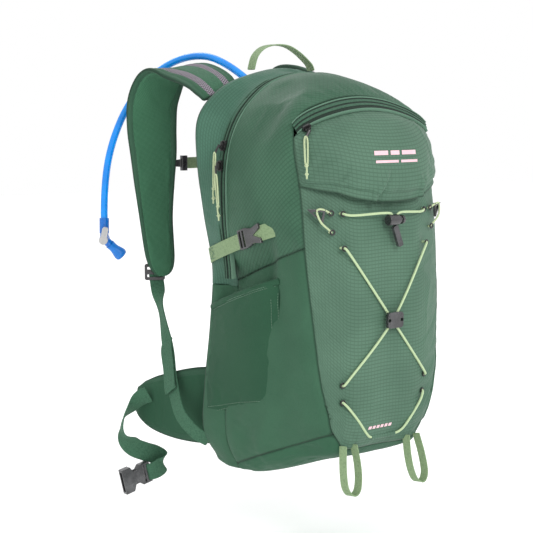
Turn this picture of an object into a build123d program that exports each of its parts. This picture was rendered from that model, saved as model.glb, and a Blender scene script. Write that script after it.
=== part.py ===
from build123d import *
import math
import os

os.makedirs("parts", exist_ok=True)

# A day pack with a drinking hose. Pack axes: X to the right seen from the front, Y from the
# front to the wearer, Z up, with z = 0 at the underside and y = 0 in the middle of the bag.
# The finished pieces are then hung from the haul loop: its crown is the origin.

# ---------------------------------------------------------------- driving dimensions (mm)
BAG_HEIGHT = 500.0
BACK_Y = 92.0                 # back edge of the bag shell
ZIP_Y = 50.0                  # plane of the main zipper
ARCH_RADIUS = 120.0           # arch that the main zipper follows
ARCH_Z = 372.0                # centre height of that arch
FABRIC = 2.4                  # coated fabric with its lining
POCKET_RECESS = 20.0          # room for a bottle behind each side pocket
CLEAR = 0.3                   # gap between pieces of different bodies
WEB_20 = 19.0                 # compression and strap webbing
WEB_15 = 15.0                 # haul and sternum webbing
WEB_10 = 10.0                 # tool loops
WEB_25 = 25.0                 # hip webbing
WEB_THICK = 1.4
HOSE_D = 9.5
ELASTIC_D = 3.2
HANG_Y = 92.0                 # the haul loop's crown, in pack axes
HANG_Z = 531.0
TO_LOOP = Location((0, -HANG_Y, -HANG_Z))

# Half widths of the bag at these shares of its height, and one row for each depth:
# depth y, underside z, top z, half widths. The arch row follows the zipper's circle.
LEVELS = (0.0, 0.03, 0.10, 0.22, 0.36, 0.50, 0.64, 0.78, 0.88, 0.95, 0.985)
RECESS_SHARES = (0.0, 0.5, 1.0, 1.0, 1.0, 0.7, 0.0, 0.0, 0.0, 0.0, 0.0)   # side pockets' recess by level


def arch_half_width(z):
    """Half width of the zipper's arch at height z."""
    return math.sqrt(ARCH_RADIUS**2 - (z - ARCH_Z) ** 2)


ARCH_TOP = ARCH_Z + ARCH_RADIUS
ARCH_HALVES = [arch_half_width(ARCH_TOP * level) for level in LEVELS[7:]]
SECTIONS = [
    (92.0, 2.0, 501.0, [88, 106, 124, 121, 113, 109, 122, 132, 129, 95, 48]),
    (60.0, 0.0, 493.0, [87, 105, 121, 119, 114, 111, 120] + ARCH_HALVES),
    (50.0, 0.0, ARCH_TOP, [86, 104, 118, 118, 115, 112, 120] + ARCH_HALVES),
    (40.0, 1.0, ARCH_TOP, [86, 104, 117, 118, 115, 112, 120] + ARCH_HALVES),
    (0.0, 12.0, 488.0, [84, 102, 114, 117, 116, 114, 119, 117, 103, 74, 42]),
    (-62.0, 36.0, 463.0, [64, 78, 93, 101, 105, 107, 108, 107, 106, 92, 52]),
    (-85.0, 40.0, 430.0, [52, 66, 86, 97, 102, 104, 104, 101, 93, 70, 38]),
    (-100.0, 54.0, 398.0, [36, 52, 78, 91, 93, 92, 88, 80, 66, 42, 22]),
    (-108.0, 85.0, 372.0, [20, 34, 52, 64, 68, 68, 66, 60, 45, 26, 13]),
    (-113.0, 150.0, 345.0, [10, 14, 20, 28, 32, 33, 32, 28, 20, 12, 6]),
]
MIDDLE_Z = BAG_HEIGHT / 2


def bag(inset=0.0, recess=0.0):
    """The bag's outer shape as one lofted solid, or its hollow, drawn in by inset and three times
    that in front."""
    with BuildPart() as body:
        for depth, low, high, halves in (SECTIONS[:-2] if inset else SECTIONS):
            y = depth
            if inset and depth < 0:
                y += 3 * inset
            if inset and depth == BACK_Y:
                y += 1
            ring = []
            for level, half, share in zip(LEVELS, halves, RECESS_SHARES):
                pinch = recess * share if -60 < depth < 61 else 0.0
                z = low + level * (high - low)
                grow = 1 - inset / 120
                ring.append(((half - pinch) * grow, MIDDLE_Z + (z - MIDDLE_Z) * (1 - inset / MIDDLE_Z)))
            foot = (0.0, MIDDLE_Z + (low - MIDDLE_Z) * (1 - inset / MIDDLE_Z))
            crown = (0.0, MIDDLE_Z + (high - MIDDLE_Z) * (1 - inset / MIDDLE_Z))
            left = [(-x, z) for x, z in reversed(ring)]
            with BuildSketch(Plane.XZ.offset(-y)):
                with BuildLine():
                    Spline([foot] + ring + [crown] + left, periodic=True)
                make_face()
        loft()
    return body.part


full_bag = bag()
inner_bag = bag(inset=FABRIC, recess=POCKET_RECESS)
slim_bag = bag(recess=POCKET_RECESS)
with BuildPart() as shell_piece:
    add(slim_bag)
    add(inner_bag, mode=Mode.SUBTRACT)
shell = shell_piece.part
print("bag volume", round(full_bag.volume), "shell volume", round(shell.volume))


# ---------------------------------------------------------------- shared ways of making pieces
def keep(piece, name):
    """Hang a finished piece from the loop, label it and write its file."""
    piece.part.move(TO_LOOP)
    piece.part.label = name
    export_step(piece.part, f"parts/{name}.step")


def keep_pair(left, name):
    """Write a left-hand piece and its mirror image."""
    with BuildPart() as right:
        mirror(left.part, about=Plane.YZ)
    keep(left, f"{name}_left")
    keep(right, f"{name}_right")


def half_of(solid, *cuts):
    """The part of a solid that lies on the normal's side of every cutting plane."""
    with BuildPart() as piece:
        add(solid)
        for cut in cuts:
            split(bisect_by=cut, keep=Keep.TOP)
    return piece


def facing(origin, normal):
    """A plane at a point, with its normal given; half_of keeps the side it points to."""
    across = Vector(1, 0, 0) if abs(normal[0]) < 0.9 else Vector(0, 1, 0)
    return Plane(origin=origin, x_dir=across, z_dir=normal)


def ribbon(stations, thickness=WEB_THICK):
    """Webbing lofted through stations: centre, width, direction across the width."""
    with BuildPart() as strap:
        for number, (centre, width, across) in enumerate(stations):
            before = Vector(*stations[max(number - 1, 0)][0])
            after = Vector(*stations[min(number + 1, len(stations) - 1)][0])
            run = (after - before).normalized()
            side = Vector(*across)
            side = (side - run * side.dot(run)).normalized()
            with BuildSketch(Plane(origin=centre, x_dir=side, z_dir=run)):
                Rectangle(width, thickness)
        loft()
    return strap


def band(points, depth, width, thickness=WEB_THICK):
    """Webbing bent in one upright plane: a spline centreline of x, z points, width along y about depth."""
    with BuildPart() as strap:
        with BuildSketch(Plane.XZ.offset(-depth)):
            with BuildLine():
                centre = Spline(points, mode=Mode.PRIVATE)
                shares = [step / 24 for step in range(25)]
                out = [centre % share for share in shares]
                sides = [[centre @ share + Vector(run.Y, -run.X) * reach for share, run in zip(shares, out)]
                         for reach in (thickness / 2, -thickness / 2)]
                Spline(sides[0])
                Spline(sides[1])
                Line(sides[0][0], sides[1][0])
                Line(sides[0][-1], sides[1][-1])
            make_face()
        extrude(amount=width / 2, both=True)
    return strap


def route_radii(points):
    """Largest tangent radius for each corner: 0.45 of the shorter run over tan of half the turn."""
    radii = []
    for before, here, after in zip(points, points[1:], points[2:]):
        run_in, run_out = Vector(*here) - Vector(*before), Vector(*after) - Vector(*here)
        turn = math.radians(run_in.get_angle(run_out))
        radii.append(0.45 * min(run_in.length, run_out.length) / math.tan(turn / 2))
    return radii


def tube(points, diameter):
    """A round cord or hose along straight runs joined by tangent arcs."""
    radii = route_radii(points)
    with BuildPart() as cord:
        with BuildLine() as route:
            FilletPolyline(*points, radius=radii)
        line = route.wire()
        with BuildSketch(Plane(origin=line @ 0, z_dir=line % 0)):
            Circle(diameter / 2)
        sweep(path=line)
    section = math.pi * diameter**2 / 4
    print(f"tube {diameter} mm: length {line.length:.0f}, volume / section x length "
          f"{cord.part.volume / (section * line.length):.4f}, radii {[round(r) for r in radii]}")
    return cord


def slab(low, high):
    """A block between two corners, kept apart from the piece being built."""
    size = [high[i] - low[i] for i in range(3)]
    middle = [(high[i] + low[i]) / 2 for i in range(3)]
    return Pos(*middle) * Box(*size)


# ---------------------------------------------------------------- bag shell, cut at its seams
ZIP_BACK = facing((0, ZIP_Y, 0), (0, 1, 0))
ZIP_FRONT = facing((0, ZIP_Y, 0), (0, -1, 0))
FRONT_SEAM_TOP = (0, -60, 440)
FRONT_SEAM_RUN = Vector(0, -40, -320).normalized()
FRONT_OF_SEAM = facing(FRONT_SEAM_TOP, (0, FRONT_SEAM_RUN.Z, -FRONT_SEAM_RUN.Y))
BACK_OF_SEAM = facing(FRONT_SEAM_TOP, (0, -FRONT_SEAM_RUN.Z, FRONT_SEAM_RUN.Y))
SIDE_SEAM_UP = facing((0, 84, 228), (0, 65, 177))       # rises towards the front
SIDE_SEAM_DOWN = facing((0, 84, 228), (0, -65, -177))
BASE_SEAM_UP = facing((0, 50, 10), (0, 0.37, 0.93))     # the underside rises towards the front
BASE_SEAM_DOWN = facing((0, 50, 10), (0, -0.37, -0.93))
POCKET_SEAM_Z = 343.0
POCKET_UP = facing((0, 0, POCKET_SEAM_Z), (0, 0, 1))
POCKET_DOWN = facing((0, 0, POCKET_SEAM_Z), (0, 0, -1))
LEFT_SIDE = facing((0, 0, 0), (-1, 0, 0))

rear_gusset = half_of(shell, ZIP_BACK)
keep(rear_gusset, "rear_gusset")
hood_panel = half_of(shell, ZIP_FRONT, BACK_OF_SEAM, SIDE_SEAM_UP)
keep(hood_panel, "hood_panel")
side_panel = half_of(shell, ZIP_FRONT, BACK_OF_SEAM, SIDE_SEAM_DOWN, BASE_SEAM_UP, LEFT_SIDE)
keep_pair(side_panel, "side_panel")
bottom_panel = half_of(shell, ZIP_FRONT, BACK_OF_SEAM, BASE_SEAM_DOWN)
keep(bottom_panel, "bottom_panel")
front_panel = half_of(shell, FRONT_OF_SEAM, POCKET_DOWN)
keep(front_panel, "front_panel")
pocket_pieces = half_of(shell, FRONT_OF_SEAM, POCKET_UP)
with BuildPart() as front_pocket:
    add(pocket_pieces.part.solids().sort_by(SortBy.VOLUME)[-1])
keep(front_pocket, "front_pocket")

# ---------------------------------------------------------------- side pockets, open at the rim
RIM_DOWN = facing((0, 84, 206), (0, -50, -144))
POCKET_FRONT_Y = -50.0
pocket_block = slab((-200, POCKET_FRONT_Y, 18), (-60, 58, 300))
pocket_room = bag(inset=FABRIC) & slab((-200, POCKET_FRONT_Y + 8, 30), (-60, 52, 300))
with BuildPart() as side_pocket:
    add(full_bag)
    add(pocket_block, mode=Mode.INTERSECT)
    split(bisect_by=RIM_DOWN, keep=Keep.TOP)
    add(pocket_room, mode=Mode.SUBTRACT)
    add(slim_bag, mode=Mode.SUBTRACT)
with BuildPart() as side_pocket_cloth:
    add(side_pocket.part.solids().sort_by(SortBy.VOLUME)[-1])
keep_pair(side_pocket_cloth, "side_pocket")

# ---------------------------------------------------------------- back panel and its pads
PANEL_THICK = 7.0
with BuildPart() as back_panel:
    with BuildSketch(Plane.XZ.offset(-(BACK_Y + PANEL_THICK))):
        with BuildLine():
            depth, low, high, halves = SECTIONS[0]
            rim = [(half - 3, low + 3 + level * (high - low - 6)) for level, half in zip(LEVELS, halves)]
            mirrored = [(-x, z) for x, z in reversed(rim)]
            Spline([(0, low + 3)] + rim + [(0, high - 3)] + mirrored, periodic=True)
        make_face()
    extrude(amount=PANEL_THICK)
keep(back_panel, "back_panel")

POD_THICK = 9.0
POD_ROWS = ((400, 66), (322, 74), (244, 66), (166, 62), (88, 70))
with BuildPart() as back_pods:
    for height, tall in POD_ROWS:
        with BuildSketch(Plane.XZ.offset(-(BACK_Y + PANEL_THICK + POD_THICK))):
            with Locations((-52, height), (52, height)):
                RectangleRounded(72, tall, 16)
        extrude(amount=POD_THICK)
    fillet(back_pods.faces().filter_by(Axis.Y).group_by(Axis.Y)[-1].edges(), 4)
keep(back_pods, "back_pods")

# ---------------------------------------------------------------- inside: frame sheet and reservoir
with BuildPart() as frame_sheet:
    with BuildSketch(Plane.XZ.offset(-(BACK_Y - 2))):
        with Locations((0, 235)):
            RectangleRounded(172, 400, 50)
    extrude(amount=1.6)
keep(frame_sheet, "frame_sheet")

with BuildPart() as reservoir:
    for y, wide, tall in ((84, 120, 300), (74, 160, 340), (54, 160, 340), (46, 120, 300)):
        with BuildSketch(Plane.XZ.offset(-y)):
            with Locations((0, 225)):
                RectangleRounded(wide, tall, 50)
    loft()
keep(reservoir, "reservoir")
CAP_POINT = (0, 46, 330)
with BuildPart() as reservoir_cap:
    with BuildSketch(Plane(origin=CAP_POINT, z_dir=(0, -1, 0))):
        Circle(42)
    extrude(amount=14)
    fillet(reservoir_cap.faces().sort_by(Axis.Y)[0].edges(), 4)
keep(reservoir_cap, "reservoir_cap")

# ---------------------------------------------------------------- hose and its valve
# The hose leaves the port beside the haul loop, rises over the left shoulder strap behind it,
# and hangs down outside the strap to the bite valve.
PORT = (-48.0, 101.0, 486.0)
HOSE_POINTS = [
    PORT,
    (-52.0, 130.0, 504.0),
    (-62.0, 182.0, 521.0),
    (-81.0, 240.0, 508.0),
    (-112.0, 275.0, 464.0),
    (-135.0, 288.0, 407.0),
    (-148.0, 288.0, 348.0),
    (-150.0, 285.0, 304.0),
]
hose = tube(HOSE_POINTS, HOSE_D)
port_run = (Vector(*HOSE_POINTS[1]) - Vector(*PORT)).normalized()
end_run = (Vector(*HOSE_POINTS[-1]) - Vector(*HOSE_POINTS[-2])).normalized()
keep(hose, "hose")

PORT_LENGTH = 9.0
port_plane = Plane(origin=Vector(*PORT) - port_run * PORT_LENGTH, z_dir=port_run)
with BuildPart() as hose_port:
    with BuildSketch(port_plane):
        Circle(11)
    extrude(amount=3)
    with BuildSketch(port_plane):
        Circle(8.5)
    extrude(amount=PORT_LENGTH)
    add(back_panel.part.moved(TO_LOOP.inverse()), mode=Mode.SUBTRACT)
    split(bisect_by=facing((0, BACK_Y + PANEL_THICK, 0), (0, 1, 0)), keep=Keep.TOP)
keep(hose_port, "hose_port")
inner_start = (-44.0, 66.0, 396.5)
with BuildPart() as hose_inner:
    with BuildSketch(Plane(origin=inner_start)):
        Circle(HOSE_D / 2)
    extrude(amount=78)
keep(hose_inner, "hose_inner")

SLEEVE = 20.0
valve_top = Plane(origin=HOSE_POINTS[-1], x_dir=(1, 0, 0), z_dir=end_run)
ELBOW_POINT = Vector(*HOSE_POINTS[-1]) + end_run * (SLEEVE + 8)
MOUTH_RUN = Vector(0.70, -0.18, -0.69).normalized()
LEVER_AXIS = Vector(0.62, 0.74, 0.10).normalized()
with BuildPart() as valve_body:
    with BuildSketch(valve_top):
        Circle(6.4)
    extrude(amount=SLEEVE)
    with BuildSketch(valve_top.offset(SLEEVE)):
        Circle(5.6)
    extrude(amount=10)
    with BuildSketch(Plane(origin=ELBOW_POINT - MOUTH_RUN * 3, z_dir=MOUTH_RUN)):
        Circle(5.6)
    extrude(amount=13)
    with BuildSketch(Plane(origin=ELBOW_POINT, z_dir=LEVER_AXIS)):
        Circle(6.2)
    extrude(amount=6.5, both=True)
keep(valve_body, "valve_body")

MOUTH_START = ELBOW_POINT + MOUTH_RUN * (10 + CLEAR)
with BuildPart() as mouthpiece:
    for along, radius in ((0, 6.4), (6, 6.0), (13, 7.2), (20, 8.6), (23, 7.6)):
        with BuildSketch(Plane(origin=MOUTH_START + MOUTH_RUN * along, z_dir=MOUTH_RUN)):
            Circle(radius)
    loft()
keep(mouthpiece, "mouthpiece")

# The lever is a flat paddle on the boss's outer end.
lever_plane = Plane(
    origin=ELBOW_POINT - LEVER_AXIS * (6.5 + CLEAR), x_dir=Vector(0.1, -0.2, 1), z_dir=-LEVER_AXIS
)
with BuildPart() as valve_lever:
    with BuildSketch(lever_plane):
        Circle(5.8)
        with Locations((9, 0)):
            RectangleRounded(18, 8.0, 3.2)
    extrude(amount=3.2)
keep(valve_lever, "valve_lever")

# ---------------------------------------------------------------- shoulder straps
STRAP_THICK = 11.0
STRAP_STATIONS = [
    ((-92, 106, 475), 56, (-0.88, 0.0, -0.47)),
    ((-92, 132, 488), 56, (-0.90, 0.0, -0.44)),
    ((-92, 165, 496), 58, (-0.93, 0.15, -0.34)),
    ((-94, 198, 497), 60, (-0.92, 0.36, -0.14)),
    ((-99, 222, 484), 64, (-0.88, 0.47, 0.0)),
    ((-103, 236, 458), 67, (-0.87, 0.49, 0.0)),
    ((-101, 242, 425), 66, (-0.87, 0.49, 0.0)),
    ((-98, 243, 390), 62, (-0.87, 0.49, 0.0)),
    ((-97, 243, 350), 54, (-0.87, 0.49, 0.0)),
    ((-96, 241, 305), 45, (-0.87, 0.49, 0.0)),
    ((-95, 235, 262), 40, (-0.87, 0.49, 0.0)),
    ((-94, 229, 236), 24, (-0.87, 0.49, 0.0)),
]
shoulder_strap = ribbon(STRAP_STATIONS, STRAP_THICK)
keep_pair(shoulder_strap, "shoulder_strap")

# Ladder lock behind the strap's tip, and the webbing that runs down to the pack's lower corner.
LOCK_PLANE = Plane(origin=(-98.5, 242, 232), x_dir=(-0.87, 0.49, 0), z_dir=(-0.48, -0.85, 0.145))
with BuildPart() as ladder_locks:
    with BuildSketch(LOCK_PLANE):
        RectangleRounded(27, 22, 3)
        with Locations((0, 5), (0, -5)):
            Rectangle(20, 3.4, mode=Mode.SUBTRACT)
    extrude(amount=3.5)
    mirror(about=Plane.YZ)
keep(ladder_locks, "ladder_locks")
strap_webbing = ribbon([
    ((-98, 235, 214), WEB_20, (-0.87, 0.49, 0.0)),
    ((-105, 218, 186), WEB_20, (-0.60, 0.70, -0.20)),
    ((-116, 184, 140), WEB_20, (-0.30, 0.80, -0.50)),
    ((-130, 152, 98), WEB_20, (-0.25, 0.75, -0.60)),
    ((-138, 124, 66), WEB_20, (-0.20, 0.70, -0.70)),
    ((-134, 104, 44), WEB_20, (-0.20, 0.70, -0.70)),
])
keep_pair(strap_webbing, "strap_webbing")

# ---------------------------------------------------------------- sternum strap
STERNUM_Z = 377.0
STERNUM_Y = 231.0
with BuildPart() as sternum_webbing:
    with BuildSketch(Plane.XY.offset(STERNUM_Z - WEB_15 / 2)):
        with BuildLine():
            bow = ThreePointArc((-55, STERNUM_Y), (-36, STERNUM_Y + 3), (-17, STERNUM_Y + 4))
            offset(bow, amount=WEB_THICK / 2)
        make_face()
    extrude(amount=WEB_15)
    mirror(about=Plane.YZ)
keep(sternum_webbing, "sternum_webbing")
with BuildPart() as sternum_clips:
    with BuildSketch(Plane.XY.offset(STERNUM_Z - 10)):
        with Locations((-58, STERNUM_Y)):
            RectangleRounded(9, 7, 2)
            with Locations((3.2, 0)):
                Rectangle(4.4, 2.4, mode=Mode.SUBTRACT)
    extrude(amount=20)
    mirror(about=Plane.YZ)
keep(sternum_clips, "sternum_clips")
BUCKLE_Y = STERNUM_Y + 4
with BuildPart() as sternum_buckle_female:
    with BuildSketch(Plane(origin=(-6, BUCKLE_Y, STERNUM_Z), x_dir=(1, 0, 0), z_dir=(0, 1, 0))):
        RectangleRounded(20, 20, 4)
    extrude(amount=4, both=True)
    with Locations((4, BUCKLE_Y, STERNUM_Z)):
        Box(18, 4.4, 14, mode=Mode.SUBTRACT)
keep(sternum_buckle_female, "sternum_buckle_female")
with BuildPart() as sternum_buckle_male:
    with Locations((4.6, BUCKLE_Y, STERNUM_Z)):
        Box(14, 3.6, 4)
    with Locations((5.0, BUCKLE_Y, STERNUM_Z - 5), (5.0, BUCKLE_Y, STERNUM_Z + 5)):
        Box(13, 3.6, 2.4)
    with Locations((11.4, BUCKLE_Y, STERNUM_Z)):
        Box(9.5, 6, 19)
    fillet(sternum_buckle_male.faces().sort_by(Axis.X)[-1].edges(), 1.5)
keep(sternum_buckle_male, "sternum_buckle_male")

# ---------------------------------------------------------------- haul loop and tool loops
LOOP_ARCH = [(-47, 503), (-42, 516), (-30, 526), (-12, 530), (8, 528.5), (26, 520), (42, 508), (46, 505)]
haul_loop = band(LOOP_ARCH, HANG_Y, WEB_15)
keep(haul_loop, "haul_loop")

TOOL_LOOP_Y = -104.0
TOOL_LOOP_PIVOT = (-50.0, TOOL_LOOP_Y, 52.0)
LOOP_DROP = [(-58, 52), (-60, 30), (-59, 8), (-54, -3), (-47, -6), (-40, -1), (-37, 14), (-38, 34), (-42, 52)]
tool_loop = band(LOOP_DROP, TOOL_LOOP_Y, WEB_10)
keep_pair(tool_loop, "tool_loop")

# ---------------------------------------------------------------- hip belt
WING_THICK = 9.0
WING_STATIONS = [
    ((-101, 110, 73), 100, (0, 0, 1)),
    ((-111, 135, 70), 97, (0, 0, 1)),
    ((-119, 165, 66), 88, (0, 0, 1)),
    ((-127, 195, 64), 74, (0, 0, 1)),
    ((-133, 215, 65), 56, (0, 0, 1)),
    ((-137, 230, 67), 30, (0, 0, 1)),
]
hip_wing = ribbon(WING_STATIONS, WING_THICK)
keep_pair(hip_wing, "hip_wing")
hip_webbing = ribbon([
    ((-144, 203, 74), 22, (0.10, 0.30, -0.95)),
    ((-150, 213, 62), WEB_25, (0.40, 0.50, -0.76)),
    ((-163, 219, 45), WEB_25, (0.35, 0.80, -0.45)),
    ((-164, 220, 24), WEB_25, (0.30, 0.60, -0.70)),
    ((-150, 219, 6), WEB_25, (0.15, 0.10, -0.98)),
    ((-131, 216, -3), WEB_25, (-0.30, 0.05, -0.95)),
])
keep_pair(hip_webbing, "hip_webbing")

HIP_BUCKLE = (-132.0, 214.0, -30.0)      # webbing bar of the buckle half
BUCKLE_PLANE = Plane(origin=HIP_BUCKLE, x_dir=(-0.97, 0, -0.24), z_dir=(0, -1, 0))
with BuildPart() as hip_buckle_female:
    with BuildSketch(BUCKLE_PLANE.offset(-4.5)):
        with BuildLine():
            Polyline((-4, -14), (10, -14), (15, -9), (21, -9), (25, -17), (38, -17), (38, 17), (25, 17),
                     (21, 9), (15, 9), (10, 14), (-4, 14), close=True)
        make_face()
    extrude(amount=9)
    with BuildSketch(BUCKLE_PLANE.offset(-5)):
        with Locations((0, 0), (5.4, 0)):
            Rectangle(2.6, 23)
    extrude(amount=11, mode=Mode.SUBTRACT)
    with BuildSketch(BUCKLE_PLANE.offset(-2.6)):
        with Locations((28, 0)):
            Rectangle(26, 27)
    extrude(amount=5.2, mode=Mode.SUBTRACT)
keep(hip_buckle_female, "hip_buckle_female")
MALE_PLANE = Plane(
    origin=(-HIP_BUCKLE[0], HIP_BUCKLE[1], HIP_BUCKLE[2]), x_dir=(0.97, 0, -0.24), z_dir=(0, -1, 0)
)
with BuildPart() as hip_buckle_male:
    with BuildSketch(MALE_PLANE.offset(-4)):
        with Locations((4, 0)):
            RectangleRounded(16, 30, 3)
        with Locations((0, 0), (5.4, 0)):
            Rectangle(2.6, 23, mode=Mode.SUBTRACT)
    extrude(amount=8)
    with BuildSketch(MALE_PLANE.offset(-2.2)):
        with Locations((21, 0)):
            Rectangle(18.6, 5)
        with Locations((22, 10.5), (22, -10.5)):
            RectangleRounded(20, 4, 1.8)
    extrude(amount=4.4)
keep(hip_buckle_male, "hip_buckle_male")

# ---------------------------------------------------------------- zippers
TAPE_RISE = 2.0
TEETH_RISE = 2.8
# The front pocket's zipper is an arc in a plane that leans with the bag's brow.
POCKET_ARC_R = 214.8
POCKET_CROWN = Vector(0, -80.0, 449.5)
BROW_RUN = Vector(0, -0.364, 0.931)      # from the arc's centre to its crown
POCKET_CENTRE = POCKET_CROWN - BROW_RUN * POCKET_ARC_R
BROW_OUT = Vector(0, -0.931, -0.364)     # normal of the arc's plane, out of the bag


def on_brow(x, rise=0.0):
    """Point of the front pocket's zipper at x across the bag, rise out of its plane."""
    return POCKET_CENTRE + BROW_RUN * math.sqrt(POCKET_ARC_R**2 - x**2) + Vector(x, 0, 0) + BROW_OUT * rise


def main_zip_strip(low_y, high_y, inner, outer):
    """A strip over the main zipper's arch and down both sides, between two heights off the fabric."""
    with BuildPart() as strip:
        for skin, mode in ((outer, Mode.ADD), (inner, Mode.SUBTRACT)):
            with BuildSketch(Plane.XZ.offset(-high_y)):
                with BuildLine():
                    side = [(half, level * ARCH_TOP) for level, half in zip(LEVELS[5:], SECTIONS[2][3][5:])]
                    ring = [(x * (1 + skin / ARCH_RADIUS), z * (1 + skin / ARCH_TOP)) for x, z in side]
                    crown = (0, ARCH_TOP + skin)
                    Spline(ring + [crown] + [(-x, z) for x, z in reversed(ring)])
                    Polyline((-ring[0][0], ring[0][1]), (-60, 230), (60, 230), ring[0])
                make_face()
            extrude(amount=high_y - low_y, mode=mode)
    return strip


with BuildPart() as zip_teeth:
    add(main_zip_strip(ZIP_Y - 1.6, ZIP_Y + 1.6, 1.4, TEETH_RISE).part)
    brow = Plane(origin=POCKET_CENTRE, x_dir=(1, 0, 0), z_dir=BROW_OUT)
    with BuildSketch(brow):
        with BuildLine():
            track = ThreePointArc((-96, -192.2), (0, -POCKET_ARC_R), (96, -192.2))
            offset(track, amount=1.6)
        make_face()
    extrude(amount=1.6)
keep(zip_teeth, "zip_teeth")
with BuildPart() as zip_tape:
    add(main_zip_strip(ZIP_Y + 2, ZIP_Y + 9, 1.4, TAPE_RISE).part)
    add(main_zip_strip(ZIP_Y - 9, ZIP_Y - 2, 1.4, TAPE_RISE).part)
keep(zip_tape, "zip_tape")


def on_arch(z, rise):
    """Point on the left of the main zipper's arch at height z, rise above the fabric."""
    x = arch_half_width(z)
    return Vector(-x, ZIP_Y, z) + Vector(-x, 0, z - ARCH_Z).normalized() * rise


def slider(point, outward, along, length=13.0, width=8.0):
    """A zipper slider: a rounded shoe with a bridge that the pull hangs from."""
    across = Vector(*along).cross(Vector(*outward)).normalized()
    base = Plane(origin=point, x_dir=along, z_dir=outward)
    with BuildPart() as shoe:
        with BuildSketch(base):
            RectangleRounded(length, width, 2.5)
        extrude(amount=2.6)
        with BuildSketch(Plane(origin=point, x_dir=along, z_dir=across).offset(-1.4)):
            with Locations((0, 3.9)):
                RectangleRounded(length - 3, 3.4, 1.2)
                RectangleRounded(length - 6.4, 1.4, 0.5, mode=Mode.SUBTRACT)
        extrude(amount=2.8)
    return shoe


def cord_pull(pivot, tab_end, loop_end, tail, out):
    """A zipper pull: a stiff tab on the bridge, a cord loop, its knot and the cut tail."""
    pivot, tab_end, loop_end, out = Vector(*pivot), Vector(*tab_end), Vector(*loop_end), Vector(*out)
    tab_run, loop_run = (tab_end - pivot).normalized(), (loop_end - tab_end).normalized()
    tab_long, loop_long = (tab_end - pivot).length, (loop_end - tab_end).length
    tail_end = loop_end + loop_run * tail
    with BuildPart() as pull:
        with BuildSketch(Plane(origin=pivot + tab_run * (tab_long / 2), x_dir=tab_run, z_dir=out)):
            RectangleRounded(tab_long + 3, 3.4, 1.5)
        extrude(amount=0.9)
        with BuildSketch(Plane(origin=tab_end + loop_run * (loop_long / 2), x_dir=loop_run, z_dir=out)):
            SlotOverall(loop_long + 4, 5.4)
            SlotOverall(loop_long, 1.4, mode=Mode.SUBTRACT)
        extrude(amount=1.0, both=True)
        with Locations(Location(tab_end), Location(loop_end), Location(tail_end)):
            Sphere(2.4)
        with BuildSketch(Plane(origin=loop_end, z_dir=loop_run)):
            Circle(1.0)
        extrude(amount=tail + 7)
    return pull


UPPER_Z, LOWER_Z = 404.0, 381.0
SLIDER_GAP = TEETH_RISE + 1.4
LOWER_LIFT = 1.0                        # more room under the lower slider, which runs onto the bend
PIVOT_RISE = SLIDER_GAP + 7.6
OUT_LEFT = Vector(-1, 0, 0)
upper_out = Vector(-arch_half_width(UPPER_Z), 0, UPPER_Z - ARCH_Z).normalized()
upper_along = Vector(upper_out.Z, 0, -upper_out.X)
zip_slider_upper = slider(on_arch(UPPER_Z, SLIDER_GAP), upper_out, upper_along)
keep(zip_slider_upper, "zip_slider_upper")
zip_slider_lower = slider(on_arch(LOWER_Z, SLIDER_GAP + LOWER_LIFT), OUT_LEFT, (0, 0, 1))
keep(zip_slider_lower, "zip_slider_lower")
upper_pivot = on_arch(UPPER_Z, PIVOT_RISE)
pull_upper = cord_pull(upper_pivot, upper_pivot + Vector(-1.5, 7.5, -11), (-129, 59, 354), 12, OUT_LEFT)
keep(pull_upper, "pull_upper")
lower_pivot = on_arch(LOWER_Z, PIVOT_RISE + LOWER_LIFT)
pull_lower = cord_pull(lower_pivot, lower_pivot + Vector(-0.3, -1, -12), (-131, 47.5, 333), 11, OUT_LEFT)
keep(pull_lower, "pull_lower")

SLIDER_X = -92.0
brow_along = Vector(1, 0, 0) * (on_brow(SLIDER_X) - POCKET_CENTRE).dot(BROW_RUN) - BROW_RUN * SLIDER_X
pocket_slider = slider(on_brow(SLIDER_X, 1.6 + 0.6), BROW_OUT, brow_along.normalized(), length=11, width=7)
keep(pocket_slider, "pocket_slider")
pocket_pivot = on_brow(SLIDER_X, 10.0)
pocket_pull = cord_pull(
    pocket_pivot, pocket_pivot + Vector(-6, 0, -9), (-105, -92, 386), 9, (-0.4, -0.9, 0.2)
)
keep(pocket_pull, "pocket_pull")


# ---------------------------------------------------------------- where the fabric lies
def half_width(y, z):
    """Half width of the bag at depth y and height z, read between its sections."""
    rows = [(section[0], width_at(section, z)) for section in SECTIONS]
    for (y_back, w_back), (y_front, w_front) in zip(rows, rows[1:]):
        if y_front <= y <= y_back:
            return w_front + (w_back - w_front) * (y - y_front) / (y_back - y_front)
    return 0.0


def width_at(section, z):
    """Half width of one section at height z, or 0 above and below it."""
    _, low, high, halves = section
    heights = [low + level * (high - low) for level in LEVELS] + [high]
    for z0, z1, w0, w1 in zip(heights, heights[1:], halves, halves[1:] + [0]):
        if z0 <= z <= z1:
            return w0 + (w1 - w0) * (z - z0) / (z1 - z0)
    return 0.0


def front_y(x, z):
    """Depth of the bag's front at x and z: the foremost y where the bag is still that wide."""
    y = SECTIONS[-1][0]
    while y < 0 and half_width(y, z) < abs(x):
        y += 0.5
    return y


# ---------------------------------------------------------------- compression straps
STRAP_RISE = 0.32             # height gained for each millimetre forward
STRAP_REAR = (84.0, 270.0)    # depth and height of the rear end
BUCKLE_START_Y = 12.0


def strap_point(y, rise):
    """Middle of the left compression strap at depth y, rise above the fabric."""
    z = STRAP_REAR[1] + (STRAP_REAR[0] - y) * STRAP_RISE
    return Vector(-(half_width(y, z) + rise), y, z)


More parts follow.
